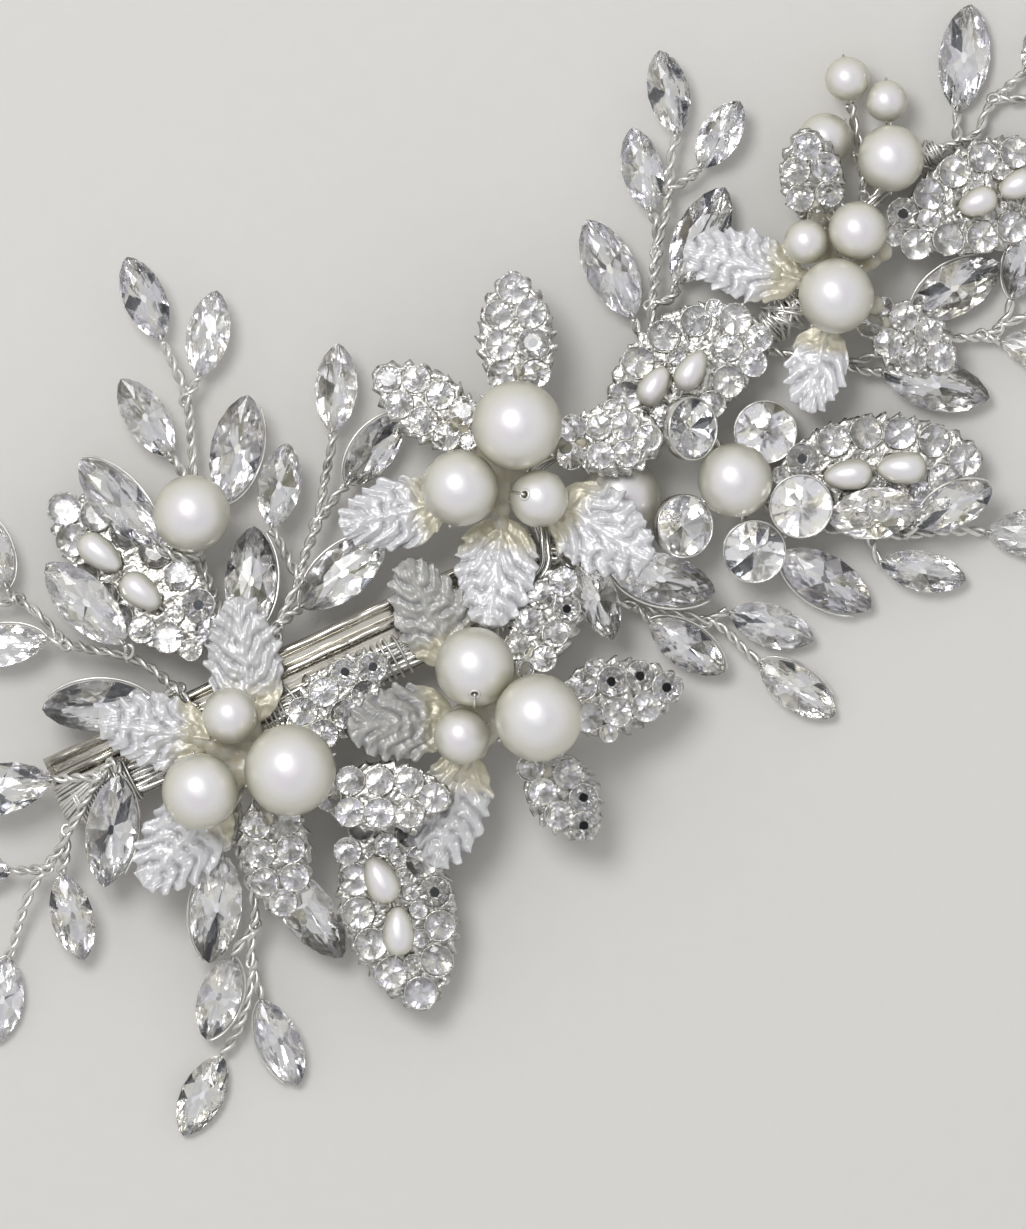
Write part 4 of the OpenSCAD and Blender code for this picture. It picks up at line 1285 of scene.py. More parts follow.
@dataclass
class TwistedWire:
    """How a pair of wires is twisted into a twig.

    Attributes:
        strand_r: radius of one wire.
        apart: distance of each wire's middle from the twig's middle.
        pitch: length of a full turn.
        slack: how far the pair opens here and there.
    """

    strand_r: float = 0.27
    apart: float = 0.29
    pitch: float = 3.4
    slack: float = 0.22

    def add_to(self, shape: Shape, path: Points, phase: float) -> None:
        """Winds the pair along a path, from a turn (phase) that also moves its looser places."""
        for half in (0.0, math.pi):
            add_coil(shape, path, partial(self.wire_at, half, phase), self.strand_r)

    def wire_at(self, half: float, phase: float, distance: Points) -> Offsets:
        """Finds where one wire of the pair lies.

        Args:
            half: its turn against the first wire.
            phase: turn of the pair at its start.
            distance: distances along the twig.

        Returns:
            The wire's offsets.
        """
        angle = 2 * math.pi * distance / self.pitch + 0.5 * np.sin(0.7 * distance + phase) + half + phase
        out = self.apart + self.slack * np.clip(np.sin(0.55 * distance + 1.7 * phase) - 0.55, 0, 1)
        return out * np.cos(angle), out * np.sin(angle)


@dataclass
class CrystalTwigs:
    """Twigs of twisted wire with a pointed crystal at the end of each.

    Attributes:
        routes: the wires of each twig.
        wire: how they are twisted.
        seat: space between a wire's end and its crystal's point.
        edge_share: share of the crystals that have a wire along one edge.
        eyelet: radius of the turn of wire where a side wire begins.
        tip_r: radius of the wire through a crystal's point and along its edge.
        crown_share: height of a crystal's crown as a share of its width.
        back_share: depth of its back as a share of its width.
    """

    routes: dict[str, Sequence[Route]]
    wire: TwistedWire = field(default_factory=TwistedWire)
    seat: float = 0.15
    edge_share: float = 0.4
    eyelet: float = 0.62
    tip_r: float = 0.13
    crown_share: float = 0.2
    back_share: float = 0.25

    def build(self) -> None:
        """Builds every twig and its crystals."""
        rng = np.random.default_rng(12)
        for name, routes in self.routes.items():
            stones = solids_of(f"navettes_{name}")
            wires, crystals = Shape([SATIN_WIRE]), Shape([CRYSTAL, FOIL])
            held = self.matched(routes, stones)
            for number, route in enumerate(routes):
                end = None
                if number in held:
                    stone = held[number]
                    end = stone.end(-1) - self.seat * stone.axes[0]
                    self.add_crystal(crystals, stone, rng)
                    self.add_tip_wires(wires, stone, rng)
                path = route.path(end)
                self.wire.add_to(wires, path, float(rng.uniform(0, 6)))
                if number:
                    self.add_eyelet(wires, path)
            wires.piece(f"twisted_wire_{name}", "twig_wire", [f"twig_{name}"])
            crystals.piece(f"crystals_{name}", "navette_crystal", [f"navettes_{name}"])

    @staticmethod
    def matched(routes: Sequence[Route], stones: Sequence[Solid]) -> dict[int, Solid]:
        """Finds the crystal that each wire runs into, the surest pairs first.

        Args:
            routes: the twig's wires.
            stones: its crystals.

        Returns:
            By the number of the wire, the crystal with its frame running outwards from the wire.
        """
        pairs = []
        for number, route in enumerate(routes):
            if not route.to_stone:
                continue
            before, last = [np.array(p) + SPRAY_AT for p in route.points[-2:]]
            for stone in stones:
                for side in (-1, 1):
                    bend = 1 - unit(last - before) @ (-side * stone.axes[0])
                    away = float(np.linalg.norm(stone.end(side) - last))
                    pairs.append((away + 2.5 * bend, number, stone, side))
        held: dict[int, Solid] = {}
        taken: list[Solid] = []
        for _, number, stone, side in sorted(pairs, key=lambda pair: pair[0]):
            if number not in held and not any(stone is other for other in taken):
                held[number] = Solid.of(stone.points, -side * stone.axes[0])
                taken.append(stone)
        return held

    def add_eyelet(self, shape: Shape, path: Points) -> None:
        """Adds the small turn of wire with which a side wire holds on to the one it leaves.

        Args:
            shape: where it goes.
            path: middle line of the side wire.
        """
        away = unit(path[4] - path[0])
        side = unit(np.cross(UP, away))
        turns = np.linspace(0, 2 * math.pi, 22)[:, None]
        loop = (path[0] - self.eyelet * 0.5 * away + self.eyelet * np.cos(turns) * away
                + 0.8 * self.eyelet * np.sin(turns) * side + 0.35 * np.cos(turns) * UP)
        add_tube(shape, loop, self.wire.strand_r * 0.9)

    def add_crystal(self, shape: Shape, stone: Solid, rng: Random) -> None:
        """Adds one pointed crystal.

        Args:
            shape: where it goes.
            stone: its CAD solid, whose frame runs from the wire's end outwards.
            rng: source of the facets' tints.
        """
        half_long, half_wide = stone.high[:2]
        crown, back = 2 * half_wide * self.crown_share, 2 * half_wide * self.back_share
        girdle = stone.place((0, 0, stone.high[2] - crown))
        cut = Cut(half_long, half_wide, crown, back, point=1.35, table=0.46, culet=0.1, dome=0.09)
        cut.add_to(shape, girdle, stone.axes, rng)

    def add_tip_wires(self, shape: Shape, stone: Solid, rng: Random) -> None:
        """Adds the loop through a crystal's drilled point, and sometimes a wire along its edge.

        Args:
            shape: where it goes.
            stone: its CAD solid.
            rng: source of which crystals have an edge wire.
        """
        length, wide = stone.high[:2]
        level = stone.high[2] - 2 * self.crown_share * wide
        turns = np.linspace(-0.15, 1.15, 16) * math.pi
        loop = [(-length + 0.2 + 0.55 * math.sin(t), 0.1 * math.cos(t), level + 0.42 * math.cos(t))
                for t in turns]
        add_tube(shape, stone.place(loop), self.tip_r)
        if rng.random() > self.edge_share:
            return
        side = 1 if rng.random() < 0.5 else -1
        angles = np.linspace(math.pi * 0.985, math.pi * rng.uniform(0.02, 0.25), 26)
        edge = np.stack([(length + 0.1) * np.cos(angles),
                         side * ((wide + 0.05) * np.sin(angles) ** 1.3 + 0.17),
                         np.full(26, level - 0.05)], axis=1)
        add_tube(shape, stone.place(edge), self.tip_r)


@dataclass
class StoneCups:
    """Large round crystals in thin soldered cups, on twisted wires round the single pearl.

    Attributes:
        routes: wires of the small cluster.
        wall: thickness of a cup.
        gap: space between a stone and its cup.
        depth: how far a stone's girdle lies above its cup's floor.
        crown: height of a stone's crown.
    """

    routes: Sequence[Route]
    wall: float = 0.22
    gap: float = 0.12
    depth: float = 2.25
    crown: float = 0.8

    def build(self) -> None:
        """Builds the cups, their wires and the crystals."""
        rng = np.random.default_rng(5)
        metal, crystals = Shape([WIRE]), Shape([CRYSTAL, FOIL])
        stones = solids_of("cup_stones")
        for stone in stones:
            girdle = stone.place((0, 0, stone.high[2] - self.crown))
            r = float(np.max(np.abs(stone.high[:2])))
            axes = self.upright(stone.axes[2], rng.uniform(0, math.pi))
            Cut(r * 1.045, r * 1.045, self.crown, 1.5, table=0.54, culet=0.04
                ).add_to(crystals, girdle, axes, rng)
            inner, outer, floor = r + self.gap + 0.1, r + self.gap + self.wall, -self.depth
            # The cup's section: out along the floor, up the cone and the wall, over the rim and back down
            section = [(0.6 * outer, floor), (outer, floor + 1.3), (outer, -0.1), (outer - 0.02, 0.12),
                       (inner + 0.02, 0.16), (inner - 0.1, 0.1), (inner, -0.1), (inner, floor + 1.4),
                       (0.5 * inner, floor + 0.3), (0.05, floor + 0.3), (0.05, floor)]
            add_lathe(metal, axes, girdle, section, 36)
        wire = TwistedWire()
        for number, route in enumerate(self.routes):
            end = None
            if route.to_stone:
                last = np.array(route.points[-1]) + SPRAY_AT
                seats = [s.place((0, 0, s.high[2] - self.crown - self.depth)) for s in stones]
                end = min(seats, key=lambda p: np.linalg.norm(p - last))
            wire.add_to(metal, route.path(end), 1.3 * number)
        metal.piece("cups_and_wires", "cup_metal", ["cup_setting"])
        crystals.piece("cup_crystals", "cup_crystal", ["cup_stones"])

    @staticmethod
    def upright(axis: Points, turn: float) -> Points:
        """A frame round an axis that doesn't depend on the CAD solid's own corners.

        Args:
            axis: the third row of the frame.
            turn: turn about the axis, in radians.

        Returns:
            The frame's rows.
        """
        first = unit(np.array([1.0, 0.0, 0.0]) - axis[0] * axis)
        second = np.cross(axis, first)
        return np.array([math.cos(turn) * first + math.sin(turn) * second,
                         math.cos(turn) * second - math.sin(turn) * first, axis])


@dataclass
class CastLeaves:
    """Cast leaves under pearl lacquer: raised wavy veins that sweep to the teeth of the edge.

    Attributes:
        clusters: names of the clusters that have them, each with how thin and grey its lacquer is.
        widest: where a leaf is widest, as a share of its length.
        fullness: how full its outline is; less is fuller.
        thick: thickness of the leaf.
        arch: rise of its middle.
        vein_step: distance between two side veins along the midrib.
        sweep: how far a vein runs forward for each millimetre outwards.
        vein_h: height of a vein.
        rib_h: height of the midrib at its foot.
        crease_h: height of the sharp little creases.
        tooth: length of a tooth.
        cloudy: places of the leaves whose lacquer is thin and greyer, from the spray's own zero.
        cloudy_reach: how near a leaf's middle lies to such a place.
        cloudy_tint: tint of such a leaf.
        rows: steps along a leaf.
        cols: steps across it.
    """

    clusters: Sequence[tuple[str, float]] = (("a", 0.2), ("b", 0.2), ("c", 0.0), ("e", 0.0))
    widest: float = 0.42
    fullness: float = 0.5
    thick: float = 0.7
    arch: float = 0.5
    vein_step: float = 2.2
    sweep: float = 0.75
    vein_h: float = 0.55
    rib_h: float = 0.34
    crease_h: float = 0.3
    tooth: float = 0.55
    cloudy: Sequence[Pair] = ((12.3, 5.2), (8.3, -8.0))
    cloudy_reach: float = 3.0
    cloudy_tint: float = 0.8
    rows: int = 100
    cols: int = 55

    def build(self) -> None:
        """Builds the leaves of every cluster."""
        rng = np.random.default_rng(31)
        for cluster, thin in self.clusters:
            shape = Shape([LACQUER])
            for solid in solids_of(f"cast_leaves_{cluster}"):
                self.add_leaf(shape, base_first(solid), thin, rng)
            shape.piece(f"lacquered_leaves_{cluster}", "pearly_leaf", [f"cast_leaves_{cluster}"])

    def add_leaf(self, shape: Shape, solid: Solid, thin: float, rng: Random) -> None:
        """Adds one leaf.

        Args:
            shape: where it goes.
            solid: its CAD solid, whose frame runs from base to tip.
            thin: how thin and grey its lacquer is, up to 1.
            rng: source of each leaf's own waves.
        """
        length, half_wide = 2 * solid.high[0], solid.high[1]
        wave = rng.uniform(0, 2 * math.pi, 6)
        t, v = np.meshgrid(np.linspace(0, 1, self.rows), np.linspace(-1, 1, self.cols), indexing="ij")
        power = math.log(0.5) / math.log(self.widest)
        body = (half_wide - self.tooth * 0.25) * np.sin(math.pi * t ** power) ** self.fullness
        half = np.maximum(body, 0.75 * (1 - 0.65 * t))
        x, y = t * length, v * half
        # Side veins start on the midrib and sweep forward in slow waves; each ends in a tooth of the edge
        bend = (0.5 * np.sin(0.6 * x + 1.3 * np.abs(y) + wave[0]) + 0.22 * np.sin(1.7 * y + 0.5 * x + wave[1])
                + 0.05 * np.sin(5.1 * y - 1.9 * x + wave[3]))
        phase = (x - self.sweep * np.abs(y) + bend) / self.vein_step + wave[2] + 0.35 * np.sign(y)
        saw = phase - np.floor(phase)
        # A vein's section: a slow rise up to its crest and a steeper fall behind it
        fold = np.where(saw < 0.62, np.sin(0.5 * math.pi * saw / 0.62) ** 1.2, ((1 - saw) / 0.38) ** 1.3)
        fold = fold * (0.8 + 0.3 * np.sin(3.3 * np.abs(y) + 2.7 * np.floor(phase) + wave[5]))
        fine = 0.5 + 0.5 * np.sin(2 * math.pi * (1.6 * phase + 0.25 * np.sin(2.4 * y + wave[3])))
        far = np.abs(v) ** 1.5
        edge = np.clip((np.abs(v) - 0.5) / 0.5, 0, 1)
        fade = np.clip(t / 0.22, 0.15, 1) * np.clip((1 - t) / 0.06, 0.2, 1)
        teeth = self.tooth * (fold - 0.4) + 0.32 * (fine - 0.5)
        out = 1 + teeth * edge ** 2 / np.maximum(half, 0.8) * fade
        y = y * out
        x = x + 0.5 * edge ** 2 * fold * fade
        rib = np.exp(-(y / 0.32) ** 2)
        # Sharp little creases run all ways over the ridges, as if the leaf had been crumpled
        crease = np.zeros(x.shape)
        for number in range(4):
            turn = wave[number] + 0.8 * np.sin(0.7 * y + wave[number - 1])
            crease += 0.25 * (1 - np.abs(np.sin((1.5 + 0.6 * number) * (np.cos(turn) * x + np.sin(turn) * y)
                                                + 2 * wave[number]))) ** 1.5
        height = (self.vein_h * (fold - 0.5) * np.clip(np.abs(y) / 0.5, 0, 1) * (0.5 + 0.5 * far)
                  + 0.14 * (fine - 0.5) + self.crease_h * (crease - 0.3)) * fade
        height = height + self.rib_h * rib * (1 - 0.6 * t)
        curl = (0.3 * edge * np.sin(2.1 * x / self.vein_step * 0.7 + wave[4])
                + 0.25 * np.sin(math.pi * t + wave[5]) * np.sign(v) * far)
        low = solid.low[2]
        floor = low + self.arch * (1 - v ** 2) * 0.9
        top_z = low + self.thick + self.arch * (1 - v ** 2) + np.maximum(height, -0.35) + curl * 0.7
        under_z = np.minimum(floor + curl * 0.7, top_z - 0.22)
        x = np.minimum(x, length + 0.2)
        top = np.stack([x - length / 2, y, top_z], axis=-1)
        under = np.stack([x - length / 2, y * 0.99, under_z], axis=-1)
        # The relief carries the lacquer's painted shade: low in the grooves, high on the veins, creases and
        # midrib
        relief = (fold * 0.7 + 0.15 * fine + 0.25 * crease) * fade + (1 - fade) * 0.8 + 0.6 * rib
        cloudy = near_any(solid.centre, self.cloudy, self.cloudy_reach)
        add_sheet(shape, solid.place(top), solid.place(under), np.clip(relief, 0, 1), t,
                  tint=self.cloudy_tint if cloudy else thin + float(rng.uniform(0, 0.15)))


@dataclass
class StoneLeaves:
    """Toothed silver leaves set with small round stones in beaded collars.

    Attributes:
        clusters: names of the clusters that have them.
        hearts: places of the stones with a dark round heart, in mm from the spray's own zero.
        heart_reach: how near a stone's middle lies to such a place.
        plate: thickness of the leaf.
        tooth: length of a tooth of its edge.
        tooth_step: distance between two teeth.
        crown: height of a main stone's crown.
        girdle_up: height of its girdle above its foot.
        back: depth of its back.
        least_tint: lowest tint of a facet of its foil.
        step: distance between two points along the leaf.
        cols: steps across it.
        beads: beads raised over the edge of a stone.
        seat_up: height of a filler stone's foot above the leaf's underside.
        filler_r: radii of the filler stones, the largest first.
        room: space between a filler and what lies round it.
    """

    clusters: Sequence[str] = ("a", "b", "c", "d", "e", "l")
    hearts: Sequence[Pair] = (
        (22.9, 33.0), (25.8, 4.2), (31.7, -3.5), (34.2, -2.3), (37.4, -3.2), (28.0, -16.5),
        (28.9, -19.2), (-13.2, 3.8), (11.5, -25.2), (51.8, 20.0), (62.6, 45.7), (1.9, -2.4), (4.7, -2.0))
    heart_reach: float = 1.7
    plate: float = 0.8
    tooth: float = 0.6
    tooth_step: float = 1.5
    crown: float = 0.45
    girdle_up: float = 0.42
    back: float = 0.66
    least_tint: float = 0.06
    step: float = 0.3
    cols: int = 31
    beads: int = 5
    seat_up: float = 0.92
    filler_r: Sequence[float] = (1.35, 1.1, 0.85)
    room: float = 0.04

    def build(self) -> None:
        """Builds the leaves and stones of every cluster."""
        rng = np.random.default_rng(77)
        long_pearls = solids_of("rice_pearls")
        for cluster in self.clusters:
            stones = solids_of(f"pave_stones_{cluster}")
            gems, metal = Shape([CRYSTAL, SMALL_FOIL]), Shape([CAST])
            for solid in solids_of(f"pave_leaves_{cluster}"):
                leaf = base_first(solid)
                own = [s for s in stones if self.on_leaf(leaf, s)]
                seats = [(*leaf.local(s.centre)[:2], float(np.max(s.high[:2]))) for s in own]
                for stone, seat in zip(own, seats):
                    self.add_stone(gems, metal, stone.place((0, 0, stone.low[2] + self.girdle_up)),
                                   stone.axes[2], seat[2], rng)
                more = self.fillers(leaf, seats, long_pearls)
                for x, y, r in more:
                    girdle = leaf.place((x, y, leaf.low[2] + self.seat_up + self.girdle_up))
                    self.add_stone(gems, metal, girdle, leaf.axes[2], r, rng)
                self.add_leaf(metal, leaf, [*seats, *more], rng)
            metal.piece(f"silver_leaves_{cluster}", "silver_leaf", [f"pave_leaves_{cluster}"])
            gems.piece(f"small_stones_{cluster}", "pave_crystal", [f"pave_stones_{cluster}"])

    @staticmethod
    def outline(leaf: Solid, x: Points | float) -> Points | float:
        """Reads a leaf's half width from its CAD solid.

        Args:
            leaf: the leaf.
            x: places along it.

        Returns:
            The half width at each place.
        """
        own = leaf.local(leaf.points)
        outline = sorted({(round(p[0], 2), round(abs(p[1]), 2)) for p in own})
        return np.interp(x, [p[0] for p in outline], [p[1] for p in outline])

    def fillers(self, leaf: Solid, seats: Sequence[Triple], long_pearls: Sequence[Solid]) -> list[Triple]:
        """Places of the smaller stones that fill what the main stones and long pearls leave bare.

        Args:
            leaf: the leaf.
            seats: place and radius of each main stone in the leaf's own frame.
            long_pearls: every long pearl.

        Returns:
            Place along the leaf, place across it and radius of each filler.
        """
        taken = list(seats)
        for pearl in long_pearls:
            if abs(leaf.local(pearl.centre)[2]) < 4:
                taken += [(*leaf.local(pearl.place((share * pearl.high[0], 0, 0)))[:2], 0.8 * pearl.high[1])
                          for share in (-0.6, 0, 0.6)]
        long, wide = leaf.high[:2]
        x, y = [grid.ravel() for grid in np.meshgrid(
            np.arange(-long, long, self.step), np.arange(-wide, wide, self.step), indexing="ij")]
        half = self.outline(leaf, x)
        room = np.min([np.hypot(x - a, y - b) - r for a, b, r in taken], axis=0) - self.room
        found: list[Triple] = []
        for r in self.filler_r:
            inside = (np.abs(y) < half - 0.55 * r) & (np.abs(x) < long - 0.6 * r)
            while np.any(inside & (room > r)):
                k = int(np.argmax(inside & (room > r)))
                found.append((float(x[k]), float(y[k]), r))
                room = np.minimum(room, np.hypot(x - x[k], y - y[k]) - r - self.room)
        return found

    def add_leaf(self, shape: Shape, solid: Solid, seats: Sequence[Triple], rng: Random) -> None:
        """Adds one leaf, hollowed under its stones and toothed all round.

        Args:
            shape: where it goes.
            solid: its CAD solid, whose frame runs from base to tip.
            seats: place and radius of each of its stones in its own frame.
            rng: source of the casting's grain.
        """
        length = 2 * solid.high[0]
        rows = max(20, round(length / self.step))
        x = np.linspace(-length / 2, length / 2, rows)
        half = self.outline(solid, x)
        phase = (x + length / 2) / self.tooth_step + rng.random()
        saw = phase - np.floor(phase)
        teeth = np.where(saw < 0.75, saw / 0.75, (1 - saw) / 0.25)
        fade = np.clip((length / 2 - np.abs(x)) / 1.5, 0, 1)
        half = half - 0.35 + self.tooth * teeth * fade
        v = np.linspace(-1, 1, self.cols)
        gx, gv = np.meshgrid(x, v, indexing="ij")
        gy = gv * half[:, None]
        gx = gx + 0.35 * np.abs(gv) ** 4 * (teeth * fade)[:, None]
        gap = np.full(gx.shape, 9.0)
        for along, across, r in seats:
            gap = np.minimum(gap, np.hypot(gx - along, gy - across) / r)
        lumps = np.zeros(gx.shape)
        for wave in range(9):
            turn, shift = rng.uniform(0, math.pi), rng.uniform(0, 6)
            along = math.cos(turn) * gx + math.sin(turn) * gy
            lumps += 0.4 * np.sin((3.2 + 0.9 * wave) * along + shift)
        # The metal rises in grains between the stones and is hollowed under them
        beaded = np.clip((gap - 1.02) / 0.1, 0, 1)
        rise = 0.2 * beaded * (0.5 + 0.5 * lumps)
        dish = -0.5 * np.clip(1 - gap / 0.95, 0, 1) ** 0.5
        rim = -0.25 * np.abs(gv) ** 6
        low = solid.low[2]
        top = np.stack([gx, gy, low + self.plate + rise + dish + rim], axis=-1)
        under = np.stack([gx, gy, np.full(gx.shape, low)], axis=-1)
        # The relief carries the cast silver's painted shade: dark on the flat and in the dishes under the
        # stones, light on the raised grains
        relief = np.clip(0.5 + rise * 1.6 + dish, 0, 1)
        add_sheet(shape, solid.place(top), solid.place(under), relief, np.ones(gx.shape))
        # A raised midrib under the leaf shows from behind
        add_tube(shape, solid.place(np.stack([np.linspace(-0.46, 0.4, 30) * length, np.zeros(30),
                                              np.full(30, low + 0.12)], axis=1)), 0.3)

    @staticmethod
    def on_leaf(leaf: Solid, stone: Solid) -> bool:
        """Whether a stone sits on a leaf."""
        place = leaf.local(stone.centre)
        return bool(np.all(np.abs(place[:2]) < leaf.high[:2]) and abs(place[2]) < 2.0
                    and stone.axes[2] @ leaf.axes[2] > 0.99)

    def add_stone(self, gems: Shape, metal: Shape, girdle: Points, up: Points, r: float,
                  rng: Random) -> None:
        """Adds a stone with its collar and the beads raised over its edge.

        Args:
            gems: where the stone goes.
            metal: where the collar and beads go.
            girdle: middle of the stone's girdle.
            up: the way that the leaf faces.
            r: radius of the stone.
            rng: source of its turn and tilt.
        """
        straight = StoneCups.upright(up, rng.uniform(0, math.pi))
        tilt = rng.normal(0, 0.07, 2)
        axes = StoneCups.upright(unit(up + tilt @ straight[:2]), rng.uniform(0, math.pi))
        heart = near_any(girdle, self.hearts, self.heart_reach) and r > 1.3
        size = min(1.0, r / 1.4)
        cut = Cut(r * 1.07, r * 1.07, self.crown * size, self.back * size, table=0.6, culet=0.06)
        cut.add_to(gems, girdle, axes, rng, heart, self.least_tint)
        section = [(r + 0.16, -0.62), (r + 0.18, -0.12), (r + 0.12, -0.02), (r + 0.06, -0.04),
                   (r + 0.02, -0.2), (r * 0.7, -0.62)]
        add_lathe(metal, straight, girdle, section, 20)
        for k in range(self.beads):
            angle = 2 * math.pi * (k + rng.uniform(-0.2, 0.2)) / self.beads
            out = (r + 0.12) * (math.cos(angle) * straight[0] + math.sin(angle) * straight[1])
            add_ball(metal, girdle + out + 0.03 * straight[2], rng.uniform(0.15, 0.24) * size)


@dataclass
class PearlBeads:
    """Round and long pearls, drilled, with the wire that each is threaded on.

    Attributes:
        wire_r: radius of the threading wire.
        wire_up: distance of the wire's middle from a pearl's surface where it hugs the pearl.
        rings: steps from hole to hole.
        sides: steps round a pearl.
        hole_r: radius of the hole.
        askew: pearls threaded askew, so that the hole shows from the front, and its direction.
    """

    wire_r: float = 0.15
    wire_up: float = 0.17
    rings: int = 40
    sides: int = 56
    hole_r: float = 0.4
    askew: dict[str, Triple] = field(default_factory=lambda: {
        "pearl_b1": (0.0, -0.68, 0.73), "pearl_c3": (-0.51, 0.13, 0.85)})

    def build(self) -> None:
        """Builds every pearl."""
        for node in sorted(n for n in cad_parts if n.startswith("pearl_") or n == "twig_pearls"):
            shape = Shape([PEARL, WIRE])
            for solid in solids_of(node):
                self.add_round(shape, solid, node)
            shape.piece(node.replace("pearl_", "round_pearl_") if node != "twig_pearls" else
                        "small_twig_pearls", "pearl", [node])
        shape = Shape([PEARL, WIRE])
        leaves = [base_first(s) for c in StoneLeaves.clusters for s in solids_of(f"pave_leaves_{c}")]
        for solid in solids_of("rice_pearls"):
            leaf = min(leaves, key=lambda s: np.linalg.norm(s.centre - solid.centre))
            self.add_long(shape, Solid.of(solid.points, leaf.axes[0]))
        shape.piece("long_pearls", "rice_pearl", ["rice_pearls"])

    @staticmethod
    def hole_axis(node: str, centre: Points, r: float) -> Points:
        """Direction of the hole through a pearl, read from the long faces of the hole's wall.

        Args:
            node: the pearl's CAD node.
            centre: middle of the pearl.
            r: its radius.

        Returns:
            A direction of length one.
        """
        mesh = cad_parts[node].data
        best = np.array([1.0, 0.0, 0.0])
        longest = 0.0
        for face in mesh.polygons:
            corners = [np.array(mesh.vertices[v].co) / MM for v in face.vertices]
            if np.linalg.norm(np.mean(corners, axis=0) - centre) > 0.6 * r:
                continue
            for a, b in zip(corners, corners[1:] + corners[:1]):
                span = float(np.linalg.norm(b - a))
                if longest < span < 2.2 * r:
                    best, longest = (b - a) / span, span
        return best

    def add_round(self, shape: Shape, solid: Solid, node: str) -> None:
        """Adds a round pearl and its wire.

        Args:
            shape: where it goes.
            solid: its CAD solid.
            node: the CAD node, whose faces show which way the hole runs.
        """
        low, high = solid.points.min(0), solid.points.max(0)
        centre = (low + high) / 2
        r = float((high - low)[2] / 2)
        axis = self.hole_axis(node, centre, r)
        if node in self.askew:
            axis = unit(np.array(self.askew[node]))
        side = unit(np.cross(axis, UP))
        axes = np.array([side, np.cross(axis, side), axis])
        start = math.asin(self.hole_r / r)
        turns = np.linspace(start, math.pi - start, self.rings)
        profile = [(r * math.sin(t), -r * math.cos(t)) for t in turns]
        inner = [(self.hole_r * 0.9, r * 0.94), (self.hole_r * 0.85, -r * 0.94)]
        add_lathe(shape, axes, centre, [*profile, *inner], self.sides)
        if node in self.askew:
            # The coat is pushed up in a lip where the wire has been pulled round the hole's edge
            lip = [(self.hole_r + 0.13 + 0.15 * math.cos(t), r + 0.13 * math.sin(t) - 0.02)
                   for t in np.linspace(0, 2 * math.pi, 9)[:-1]]
            add_lathe(shape, axes, centre, lip, 24)
        for way in (-1, 1):
            ahead = way * axis
            down = unit(-UP + (UP @ ahead) * ahead)
            # The wire leaves the hole and hugs the pearl down to the wires that hold it
            lowest = math.acos(np.clip(-ahead[2], -1, 1)) - 0.45
            bends = np.linspace(0.12, max(0.3, lowest), 7)
            hug = [centre + (r + self.wire_up) * (math.cos(a) * ahead + math.sin(a) * down) for a in bends]
            add_tube(shape, smooth_path([centre + 0.7 * r * ahead, centre + (r + 0.08) * ahead, *hug]),
                     self.wire_r, 6, 1)

    def add_long(self, shape: Shape, solid: Solid) -> None:
        """Adds a long pearl: a drop whose fuller end points to the leaf's tip.

        Args:
            shape: where it goes.
            solid: its CAD solid.
        """
        half_long, r = solid.high[0], float((solid.high[1] + solid.high[2]) / 2)
        steps = np.linspace(-1, 1, 30)
        full = np.sqrt(np.maximum(0, 1 - np.abs(steps) ** 2.3)) * (1 + 0.2 * steps - 0.05 * steps ** 2)
        outline = [(max(0.22, float(r * f / full.max())), float(half_long * u)) for u, f in zip(steps, full)]
        axes = np.array([solid.axes[1], solid.axes[2], solid.axes[0]])
        add_lathe(shape, axes, solid.centre, [*outline, (0.2, half_long * 0.8), (0.2, -half_long * 0.8)], 32)
        ends = [solid.place((-half_long - 0.5, 0, -0.3 * r)), solid.place((-half_long * 0.6, 0, 0)),
                solid.place((half_long * 0.6, 0, 0)), solid.place((half_long + 0.5, 0, -0.3 * r))]
        add_tube(shape, smooth_path(ends), self.wire_r, 6, 1)


